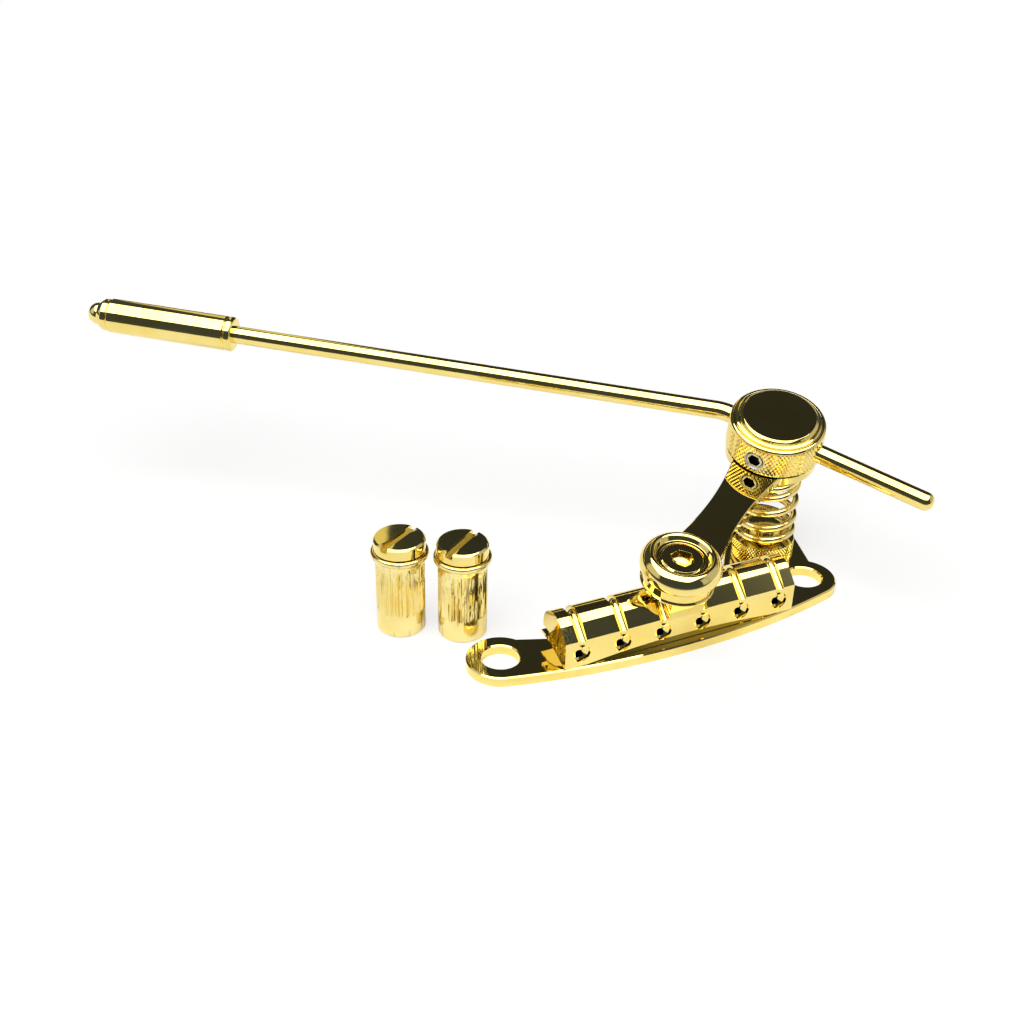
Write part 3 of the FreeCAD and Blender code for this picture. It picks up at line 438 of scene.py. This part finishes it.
barSizes = {
    "length": 60.2,
    "front": -10.45,
    "foot": 2.6,
    "crease": 9.4,
    "lobe": (-4.15, 8.8),
    "lobeRadius": 4.95,
    "lip": (1.5, 5.2, 5.9),
    "slotTop": 7.7,
    "slotFront": -2.2,
    "slopeStart": -2.6,
    "strings": [string * 10.4 - 26.0 for string in range(6)],
    "grooveRadius": 1.15,
    "grooveDepth": 1.1,
    "grooveFront": 0.35,
    "mouthRadius": 2.15,
    "mouthHeight": 5.9,
    "mouthDepth": 1.6,
    "mouthPoint": 0.75,  # how far the drill's point runs ahead of its full width
    "mouthReach": 4.0,
    "pointRadius": 0.9,
    "slack": 0.001,  # keeps one cut's faces off the next one's
    "holeRadius": 0.95,
    "holeHeight": 4.9,
    "holeSlope": 18.0,
    "holeLead": 0.62,  # starts this far inside the mouth
    "holeReach": 7.0,
    "lugSlots": ((2.9, 5.7, 6.0), (20.8, -6.9, 4.55)),  # size and middle of the right one
    "cradles": ((7.3, 2.1, 5.0), (20.8, -7.4, 3.75)),
    "edge": 0.14,
}


def touchPoint(point, centre, radius):  # where a line from the point meets the circle on its front
    run = Vector(centre) - Vector(point)
    turn = math.atan2(run.y, run.x) + math.asin(radius / run.length)
    return Vector(point) + Vector((math.cos(turn), math.sin(turn))) * math.sqrt(run.length ** 2 - radius ** 2)


def makeBar():
    size = barSizes
    lobe = Vector(size["lobe"])
    rise = touchPoint((size["front"], size["crease"]), lobe, size["lobeRadius"]) - lobe
    begin, final = math.atan2(rise.y, rise.x), -math.asin((lobe.y - size["slotTop"]) / size["lobeRadius"])
    turns = [begin + (final - begin) * step / 56 for step in range(57)]
    outline = [(size["front"], size["foot"]), (size["front"], size["crease"])]
    for turn in turns:
        outline.append((lobe.x + size["lobeRadius"] * math.cos(turn), lobe.y + size["lobeRadius"] * math.sin(turn)))
    edge, under, over = size["lip"]
    outline += [(size["slotFront"], size["slotTop"]), (size["slotFront"], over), (edge, over)]
    outline += [(edge, under), (size["slopeStart"], under)]
    shape = bmesh.new()
    end = shape.faces.new([shape.verts.new((-size["length"] / 2, across, up)) for across, up in outline])
    grown = bmesh.ops.extrude_face_region(shape, geom=[end], use_keep_orig=True)["geom"]
    bmesh.ops.translate(shape, vec=(size["length"], 0, 0), verts=only(bmesh.types.BMVert, grown))
    bmesh.ops.recalc_face_normals(shape, faces=shape.faces)
    bar = meshObject("stringBar", shape, Matrix.Scale(0.001, 4))
    cutters = [overCuts(), frontCuts(), cornerCuts(), mouthCuts(), pointCuts(), holeCuts()]
    for cutter in cutters + [pair(*size["lugSlots"]), pair(*size["cradles"])]:
        cutAway(bar, cutter, Matrix.Scale(0.001, 4))
    softEdges(bar, size["edge"])
    return bar


def rings(radius, across, up, turn=0.0, segments=40):  # one open circle at each string
    shape = bmesh.new()
    for string in barSizes["strings"]:
        place = Matrix.Translation((string, across, up)) @ Matrix.Rotation(turn, 4, "X")
        bmesh.ops.create_circle(shape, segments=segments, radius=radius, matrix=place)
    return shape


def only(kind, parts):
    return [part for part in parts if isinstance(part, kind)]


def drawOut(shape, edges, way):
    grown = bmesh.ops.extrude_edge_only(shape, edges=edges)["geom"]
    bmesh.ops.translate(shape, vec=way, verts=only(bmesh.types.BMVert, grown))
    return only(bmesh.types.BMEdge, grown)


def closed(shape):
    bmesh.ops.holes_fill(shape, edges=shape.edges)
    bmesh.ops.recalc_face_normals(shape, faces=shape.faces)
    return shape


def grooveLine():
    size = barSizes
    corner = Vector((size["front"] + size["grooveFront"] - size["grooveRadius"], size["crease"]))
    radius = size["lobeRadius"] - size["grooveDepth"] + size["grooveRadius"]
    return corner, touchPoint(corner, size["lobe"], radius), radius


def overCuts():
    size, (corner, rise, radius) = barSizes, grooveLine()
    lobe = Vector(size["lobe"])
    shape = rings(size["grooveRadius"], lobe.x + radius, lobe.y)
    sweep = math.atan2(rise.y - lobe.y, rise.x - lobe.x)
    spun = bmesh.ops.spin(
        shape, geom=shape.verts[:] + shape.edges[:], cent=(0, lobe.x, lobe.y), axis=(1, 0, 0), angle=sweep, steps=40)
    last = only(bmesh.types.BMEdge, spun["geom_last"])
    drawOut(shape, last, (0, corner.x - rise.x, corner.y - rise.y))
    return closed(shape)


def frontCuts():
    size, (corner, rise, radius) = barSizes, grooveLine()
    shape = rings(size["grooveRadius"], corner.x, corner.y)
    drawOut(shape, shape.edges[:], (0, 0, size["mouthHeight"] - corner.y))
    return closed(shape)


def cornerCuts():
    size, (corner, rise, radius) = barSizes, grooveLine()
    shape = bmesh.new()
    for string in size["strings"]:
        place = Matrix.Translation((string, corner.x, corner.y))
        ball = size["grooveRadius"] + 2 * size["slack"]
        bmesh.ops.create_uvsphere(shape, u_segments=40, v_segments=24, radius=ball, matrix=place)
    return shape


def drilled(middle, radii, long):  # one drill cut at each string
    shape = bmesh.new()
    for string in barSizes["strings"]:
        place = Matrix.Translation((string, middle, barSizes["mouthHeight"])) @ Matrix.Rotation(math.pi / 2, 4, "X")
        bmesh.ops.create_cone(
            shape, cap_ends=True, segments=56, radius1=radii[0], radius2=radii[1], depth=long, matrix=place)
    return shape


def mouthCuts():
    size = barSizes
    middle = size["front"] + size["mouthDepth"] - size["mouthPoint"] - size["mouthReach"] / 2
    return drilled(middle, (size["mouthRadius"], size["mouthRadius"]), size["mouthReach"])


def pointCuts():  # the point of the drill is left in the floor of each mouth
    size = barSizes
    middle = size["front"] + size["mouthDepth"] - size["mouthPoint"] / 2
    radii = (size["pointRadius"], size["mouthRadius"] - size["slack"])
    return drilled(middle, radii, size["mouthPoint"] + 2 * size["slack"])


def holeCuts():
    size = barSizes
    slope = math.radians(size["holeSlope"])
    lead, reach = size["holeLead"], size["holeReach"]
    across = size["front"] + size["mouthDepth"] - lead * math.cos(slope)
    up = size["holeHeight"] - lead * math.sin(slope)
    shape = rings(size["holeRadius"], across, up, math.pi / 2 + slope, 32)
    drawOut(shape, shape.edges[:], (0, reach * math.cos(slope), reach * math.sin(slope)))
    return closed(shape)


def pair(size, middle):  # the same block on both sides of the middle
    shape = bmesh.new()
    for side in (-1, 1):
        place = Matrix.Translation((middle[0] * side, middle[1], middle[2])) @ Matrix.Diagonal((*size, 1))
        bmesh.ops.create_cube(shape, size=1.0, matrix=place)
    return shape


standIn(makeBar(), "bar", "string_bar", mirrorGold)
print("string bar cut")

clampSizes = {
    "knob": (9.45, 1.9),  # widest ring and its height
    "foot": 8.4,
    "shoulder": (7.65, 5.0),
    "crest": (6.45, 4.65),
    "bows": (0.28, 0.48, 0.26),  # of the foot, the flank and the crest
    "groove": (6.0, 3.9),
    "bore": 2.55,
    "headAir": 0.05,
    "headRadius": 5.15,
    "headEdge": 0.45,
    "head": (1.1, 4.0),
    "socket": 4.85,  # across flats
    "socketDepth": 2.0,
    "socketTurn": 43.0,
    "drill": (0.84, 1.0, 0.05, 0.3),  # share of the socket's width, depths of the tip and rim, and rise past the floor
    "shank": (2.5, -7.0),  # radius and foot
    "overrun": 1.0,
}


def makeClamp():
    size = clampSizes
    well, bore = size["headRadius"] + size["headAir"], size["bore"]
    footBow, flankBow, crestBow = size["bows"]
    profile = [(bore, 0.0), (size["foot"], 0.0)] + arcOf((size["foot"], 0.0), size["knob"], footBow)
    profile += arcOf(size["knob"], size["shoulder"], flankBow, 20) + arcOf(size["shoulder"], size["crest"], crestBow)
    profile += [size["groove"], (well, size["groove"][1]), (well, size["head"][0]), (bore, size["head"][0])]
    knob = meshObject("clampKnob", spunShape(profile, 160, ring=True), clampFrame)
    softEdges(knob, 0.1)
    standIn(knob, "bar", "clamp_knob", mirrorGold)
    (low, top), (shank, foot), head = size["head"], size["shank"], size["headRadius"]
    profile = [(0.0, foot), (shank, foot), (shank, low), (head, low), (head, top - size["headEdge"])]
    profile += [(head - size["headEdge"], top), (0.0, top)]
    screw = meshObject("clampScrew", spunShape(profile, 96), clampFrame)
    across = size["socket"] / math.sqrt(3)
    floor = top - size["socketDepth"]
    turn = Matrix.Rotation(math.radians(size["socketTurn"]), 4, "Z")
    cutAway(screw, barrel(across, floor, top + size["overrun"], 6), clampFrame @ turn)
    share, tip, rim, rise = size["drill"]
    profile = [(0.0, floor - tip), (across * share, floor - rim), (across * share, floor + rise), (0.0, floor + rise)]
    cutAway(screw, spunShape(profile, 48), clampFrame)
    softEdges(screw, 0.14, 2, flat=True)
    standIn(screw, "bar", "clamp_screw", mirrorGold)


makeClamp()
print("clamp knob and screw turned")

holderSizes = {
    "radius": 11.8,
    "foot": 0.4,
    "top": 7.7,
    "edge": 0.25,
    "diamonds": 74,
    "rows": 9,
    "diamondDepth": 0.3,
    "bore": 2.35,
    "screwBore": 2.05,
    "grubSocket": 2.9,  # across flats
    "screwRing": (2.6, 11.35),  # flat ring round the grub screw: radius, and how far out it lies
    "sinkOver": 0.1,  # how far the countersink runs past the ring
    "cutReach": (1.0, 14.0),  # start and end of the cut, from the rod's middle
    "boreReach": 20.0,
    "grub": (2.0, 11.35, 0.2),  # radius, top and edge
    "grubFloor": (9.5, 12.0),  # of the hex socket's cut
    "cap": [(11.35, 7.7), (11.7, 8.05), (10.65, 8.65)],
    "capBows": (0.06, 0.25),
    "capFoot": (6.0, 7.3),
    "capStep": [(10.45, 8.95), (9.75, 9.2), (9.75, 8.95)],
    "capDrop": 0.25,
    "discEdge": (9.55, 9.7),
    "disc": (8.9, 10.2),
}


def knurled(shape, radius, rows, depth):  # raised diamonds between rings that the shape already has
    near, level = 0.01, 0.001

    def reach(vert):
        return math.hypot(vert.co.x, vert.co.y)

    heights = sorted({round(vert.co.z, 4) for vert in shape.verts if abs(reach(vert) - radius) < near})
    band = heights[1:-1] if len(heights) > rows + 1 else heights
    lowest = [vert for vert in shape.verts if abs(vert.co.z - band[0]) < level and reach(vert) > radius - near]
    step = math.tau / len(lowest)
    valleys = []
    for vert in shape.verts:
        if reach(vert) < radius - near or not band[0] - level < vert.co.z < band[-1] + level:
            continue
        row = min(range(len(band)), key=lambda index: abs(band[index] - vert.co.z))
        column = round(math.atan2(vert.co.y, vert.co.x) / step)
        if (row + column) % 2:
            valleys.append(vert)
    for vert in valleys:
        share = 1 - depth / radius
        vert.co.x *= share
        vert.co.y *= share
    bmesh.ops.connect_verts(shape, verts=valleys)
    return shape


def paintedHighlightRing(piece, inner, deep):  # painted highlight: pale rough steel on the faces round the grub screw, for the light they catch
    ring, flat = holderSizes["screwRing"]
    piece.data.materials.append(paintedHighlightSteel)
    for face in piece.data.polygons:
        spot = grubFrame.inverted() @ face.center
        if inner < math.hypot(spot.x, spot.y) < ring + 0.05 and flat - deep < spot.z < flat + 0.15:
            face.material_index = 1


def makeHolder():
    size = holderSizes
    low, high = size["foot"] + size["edge"], size["top"] - size["edge"]
    profile = [(0.0, size["foot"]), (size["radius"] - size["edge"], size["foot"])]
    profile += [(size["radius"], low + (high - low) * row / size["rows"]) for row in range(size["rows"] + 1)]
    profile += [(size["radius"] - size["edge"], size["top"]), (0.0, size["top"])]
    shape = knurled(spunShape(profile, 2 * size["diamonds"]), size["radius"], size["rows"], size["diamondDepth"])
    holder = meshObject("armHolder", shape, holderFrame)
    bore = axisFrame(rodMiddle, rodAlong, Vector(tilt["holderUp"]))
    cutAway(holder, barrel(size["bore"], -size["boreReach"], size["boreReach"], 64), bore)
    (ring, flat), (start, reach), over, drill = size["screwRing"], size["cutReach"], size["sinkOver"], size["screwBore"]
    profile = [(0.0, start), (drill, start), (drill, flat - ring + drill), (ring + over, flat + over)]
    profile += [(ring, flat + over), (ring, reach), (0.0, reach)]
    cutAway(holder, spunShape(profile, 64), grubFrame)  # hole, countersink and ring in one, so the holder stays closed
    holder.data.set_sharp_from_angle(angle=math.radians(15))
    standIn(holder, "holder", "arm_holder", knurlGold)
    # painted highlight on the countersink and flat ring round the grub screw
    paintedHighlightRing(holder, size["screwBore"] - 0.1, 0.7)

    foot, belly, rim = size["cap"]
    (inside, low), (footBow, rimBow), step = size["capFoot"], size["capBows"], size["capStep"]
    profile = [(0.0, low), (inside, low), (inside, foot[1]), foot]
    profile += arcOf(foot, belly, footBow, 5) + arcOf(belly, rim, rimBow, 14)
    profile += [(rim[0], rim[1] - size["capDrop"]), (step[0][0], rim[1] - size["capDrop"])] + step
    profile += [(size["discEdge"][0], step[-1][1]), size["discEdge"], size["disc"], (0.0, size["disc"][1])]
    cap = meshObject("holderCap", spunShape(profile, 176), holderFrame)
    softEdges(cap, 0.06, 2)
    standIn(cap, "holder", "holder_cap", mirrorGold)

    (radius, top, edge), foot = size["grub"], size["bore"]
    profile = [(0.0, foot), (radius, foot), (radius, top - edge), (radius - edge, top), (0.0, top)]
    grub = meshObject("grubScrew", spunShape(profile, 48), grubFrame)
    cutAway(grub, barrel(size["grubSocket"] / math.sqrt(3), *size["grubFloor"], 6), grubFrame)
    softEdges(grub, 0.05, 2)
    standIn(grub, "holder", "arm_grub_screw", blackedSteel)
    # painted highlight on the grub screw's top
    paintedHighlightRing(grub, size["grubSocket"] / 2, 0.3)


makeHolder()
print("arm holder knurled and capped")

armSizes = {
    "radius": 2.3,
    "tail": 41.35,
    "bendAt": 14.4,
    "bend": 22.3,
    "bendRadius": 10.0,
    "reach": 127.7,
    "tailRound": 2.1,
    "sleeve": (4.5, 34.0),
    "sleeveRound": 0.8,
    "sleeveBow": 0.234,
    "sleeveEnd": 0.3,
    "intoSleeve": 6.0,
    "line": (2.0, 0.35),
    "ring": [(3.9, 34.0), (4.2, 34.3), (4.2, 35.6), (3.3, 37.0)],
    "tip": (2.9, 37.0, 40.3),
    "tipNeck": (2.3, 1.0),  # radius and depth in the ring
}


def makeArm():
    size = armSizes
    bend = math.radians(size["bend"])
    setback = size["bendRadius"] * math.tan(bend / 2)
    shape = bmesh.new()
    tail = axisFrame(rodMiddle - rodAlong * size["tail"], rodAlong, Vector(tilt["holderUp"]))
    bmesh.ops.create_circle(shape, segments=56, radius=size["radius"], matrix=Matrix.Scale(1000, 4) @ tail)
    straight = size["tail"] + size["bendAt"] - setback
    last = drawOut(shape, shape.edges[:], rodAlong * straight)
    centre = rodMiddle + rodAlong * (size["bendAt"] - setback) + rodSide * size["bendRadius"]
    ends = list({vert for edge in last for vert in edge.verts})
    spun = bmesh.ops.spin(shape, geom=ends + last, cent=centre, axis=rodAlong.cross(rodSide), angle=bend, steps=14)
    last = only(bmesh.types.BMEdge, spun["geom_last"])
    far = rodAlong * math.cos(bend) + rodSide * math.sin(bend)
    drawOut(shape, last, far * (size["reach"] - setback + size["intoSleeve"]))
    closed(shape)
    rod = meshObject("vibratoRod", shape, Matrix.Scale(0.001, 4))
    softEdges(rod, size["tailRound"], 8, 60)
    standIn(rod, "arm", "arm_rod", mirrorGold)

    handleFrame = axisFrame(tilt["handleFoot"], far, Vector(tilt["holderUp"]))
    radius, long = size["sleeve"]
    at, cut = size["line"]
    start = (radius - size["sleeveRound"], 0.0)
    profile = [(0.0, 0.0), start] + arcOf(start, (radius, size["sleeveRound"]), size["sleeveBow"], 8)
    profile += [(radius, at - cut), (radius - cut, at), (radius, at + cut)]
    profile += [(radius, long - size["sleeveEnd"]), (radius - size["sleeveEnd"], long), (0.0, long)]
    sleeve = meshObject("armHandle", spunShape(profile, 96), handleFrame)
    softEdges(sleeve, 0.1, 2)
    standIn(sleeve, "arm", "arm_handle", mirrorGold)
    profile = [(0.0, size["ring"][0][1])] + size["ring"] + [(0.0, size["ring"][-1][1])]
    ring = meshObject("handleRing", spunShape(profile, 80), handleFrame)
    softEdges(ring, 0.12, 3)
    standIn(ring, "arm", "handle_ring", mirrorGold)
    wide, low, high = size["tip"]
    ball = (wide ** 2 + (high - low) ** 2) / (2 * (high - low))
    neck, deep = size["tipNeck"]
    profile = [(0.0, low - deep), (neck, low - deep), (neck, low)]
    start = math.pi - math.asin(wide / ball)  # the ball's middle lies above the ring
    turns = [start * (1 - step / 18) for step in range(19)]
    profile += [(ball * math.sin(turn), high - ball + ball * math.cos(turn)) for turn in turns]
    tip = meshObject("handleTip", spunShape(profile, 64), handleFrame)
    softEdges(tip, 0.06, 2)
    standIn(tip, "arm", "handle_tip", mirrorGold)


makeArm()
print("arm bent and handle turned")

springSizes = {
    "middle": (40.5, 17.5),
    "wire": 0.9,
    "coil": 6.8,
    "pitches": (0.121, 0.207, 0.239, 0.276, 0.157),  # share of the height that each turn climbs
    "low": 5.85,  # centre of the wire at the foot
    "leanFrom": 0.6,
    "leverThick": 2.4,
    "air": 0.05,
    "stepsPerTurn": 48,
}


def leverUnder(x, y):
    size, up = springSizes, tilt["holderUp"]
    point = Vector(tilt["holderFoot"]) - Vector(up) * size["leverThick"]
    return point.z - ((x - point.x) * up[0] + (y - point.y) * up[1]) / up[2]


def springPoint(turns):
    size = springSizes
    x = size["middle"][0] + size["coil"] * math.cos(math.tau * turns)
    y = size["middle"][1] + size["coil"] * math.sin(math.tau * turns)
    middle = leverUnder(*size["middle"])
    high = middle - size["air"] - size["wire"] / tilt["holderUp"][2]
    whole = min(int(turns), len(size["pitches"]) - 1)
    done = sum(size["pitches"][:whole]) + size["pitches"][whole] * (turns - whole)
    lean = max(0.0, turns / len(size["pitches"]) - size["leanFrom"]) / (1 - size["leanFrom"])
    return Vector((x, y, size["low"] + (high - size["low"]) * done + lean * (leverUnder(x, y) - middle)))


def makeSpring():
    size = springSizes
    curve = bpy.data.curves.new("springLine", "CURVE")
    curve.dimensions = "3D"
    curve.bevel_depth = size["wire"] * 0.001
    curve.bevel_resolution = 8
    curve.use_fill_caps = True
    steps = size["stepsPerTurn"] * len(size["pitches"])
    line = curve.splines.new("POLY")
    line.points.add(steps)
    for step, point in enumerate(line.points):
        point.co = (*(springPoint(len(size["pitches"]) * step / steps) * 0.001), 1.0)
    wound = linked(bpy.data.objects.new("springLine", curve))
    mesh = bpy.data.meshes.new_from_object(wound.evaluated_get(bpy.context.evaluated_depsgraph_get()))
    mesh.name = "returnSpring"
    bpy.data.objects.remove(wound)
    bpy.data.curves.remove(curve)
    for face in mesh.polygons:
        face.use_smooth = True
    mesh.set_sharp_from_angle(angle=math.radians(50))
    spring = linked(bpy.data.objects.new("returnSpring", mesh))
    standIn(spring, "base", "return_spring", wireGold)
    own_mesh(spring)


makeSpring()
print("spring wound")

seatSizes = {
    "place": (40.5, 17.5, 0.0),
    "radius": 7.85,
    "heights": (2.4, 4.9),
    "edge": 0.2,
    "boss": (4.4, 8.0),
    "bossEdge": 0.3,
    "diamonds": 62,
    "rows": 4,
    "diamondDepth": 0.22,
}


def makeSeat():
    size = seatSizes
    low, high = size["heights"]
    profile = [(0.0, low), (size["radius"] - size["edge"], low)]
    span = high - low - 2 * size["edge"]
    profile += [(size["radius"], low + size["edge"] + span * row / size["rows"]) for row in range(size["rows"] + 1)]
    (boss, top), edge = size["boss"], size["bossEdge"]
    profile += [(size["radius"] - size["edge"], high), (boss, high), (boss, top - edge), (boss - edge, top), (0.0, top)]
    shape = knurled(spunShape(profile, 2 * size["diamonds"]), size["radius"], size["rows"], size["diamondDepth"])
    seat = meshObject("springSeat", shape, axisFrame(size["place"]))
    seat.data.set_sharp_from_angle(angle=math.radians(15))
    standIn(seat, "seat", "spring_seat", knurlGold)


makeSeat()
print("spring seat knurled")

studSizes = {
    "places": {"left": ((-55.5, 23.9, 0.0), 32.0), "right": ((-43.2, 16.3, 0.0), 35.0)},  # and the turn of the slot
    "sleeve": 5.65,
    "height": 20.8,
    "flange": 6.7,
    "flangeThick": 1.2,
    "flangeRound": 0.5,
    "flare": 1.0,
    "flareBow": -0.12,
    "flangeStep": 0.2,
    "flangeBow": 0.146,
    "footEdge": 0.3,
    "bore": (4.05, 4.0),  # radius and floor
    "ribRows": (6.0, 9.0, 11.6, 12.8, 14.0, 15.2, 16.4, 17.6),
    "ribRun": (0.5, 0.4),  # plain stretch below and above the ribs
    "ribBreak": 11.0,  # above this height the ribs are broken up
    "ribShares": (0.5, 0.05),  # least depth of a rib below and above it
    "ribCount": 92,
    "ribDepth": 0.34,
    "head": (6.0, 21.0, 24.0),
    "headEdge": 0.45,
    "shank": (4.0, 4.2, 0.3),  # radius, foot and edge
    "neck": (4.9, 0.2),
    "slot": (1.8, 1.3),
    "slotCut": (30.0, 4.0),
}


def makeBushing(side, seed):
    size = studSizes
    under = size["height"] - size["flangeThick"]
    sleeve, flange, height, turned = size["sleeve"], size["flange"], size["height"], size["flangeRound"]
    rows, step, (bore, floor) = size["ribRows"], size["flangeStep"], size["bore"]
    low, high = rows[0], rows[-1]
    profile = [(0.0, 0.0), (sleeve - size["footEdge"], 0.0), (sleeve, size["footEdge"])]
    profile += [(sleeve, up) for up in (low - size["ribRun"][0], *rows, high + size["ribRun"][1])]
    flare = (sleeve, under - size["flare"])
    profile += [flare] + arcOf(flare, (flange - step, under), size["flareBow"], 8)
    rim = (flange, height - turned)
    profile += [(flange, under + step), rim] + arcOf(rim, (flange - turned, height), size["flangeBow"], 8)
    profile += [(bore, height), (bore, floor), (0.0, floor)]
    shape = spunShape(profile, 2 * size["ribCount"])
    chance = random.Random(seed)
    depths = [chance.uniform(0.15, 1.0) * (column % 2) for column in range(2 * size["ribCount"])]
    plain, broken = size["ribShares"]
    marks = [[chance.uniform(plain if up < size["ribBreak"] else broken, 1.0) for up in rows] for column in depths]
    for vert in shape.verts:
        if math.hypot(vert.co.x, vert.co.y) < size["sleeve"] - 0.01 or not low - 0.01 < vert.co.z < high + 0.01:
            continue
        column = round(math.atan2(vert.co.y, vert.co.x) / math.tau * len(depths)) % len(depths)
        row = min(range(len(rows)), key=lambda index: abs(rows[index] - vert.co.z))
        share = 1 - size["ribDepth"] * depths[column] * marks[column][row] / size["sleeve"]
        vert.co.x *= share
        vert.co.y *= share
    bushing = meshObject(side + "Bushing", shape, axisFrame(size["places"][side][0]))
    bushing.data.set_sharp_from_angle(angle=math.radians(34))
    standIn(bushing, "base", "bushing_" + side, ribGold)


def makeStud(side):
    size = studSizes
    place, turn = size["places"][side]
    radius, low, top = size["head"]
    (shank, foot, edge), (neck, step) = size["shank"], size["neck"]
    profile = [(0.0, foot), (shank - edge, foot), (shank, foot + edge), (shank, low - step)]
    profile += [(neck, low - step), (neck, low), (radius - step, low), (radius, low + step)]
    profile += [(radius, top - size["headEdge"]), (radius - size["headEdge"], top), (0.0, top)]
    stud = meshObject(side + "Stud", spunShape(profile, 128), axisFrame(place))
    (wide, deep), (long, high) = size["slot"], size["slotCut"]
    cutAway(stud, block((long, wide, high), (0, 0, top - deep + high / 2), turn), axisFrame(place))
    softEdges(stud, 0.07, 2)
    standIn(stud, side + "_stud", "stud_" + side, mirrorGold)


for side, seed in (("left", 5), ("right", 11)):
    makeBushing(side, seed)
    makeStud(side)
print("studs and bushings turned")
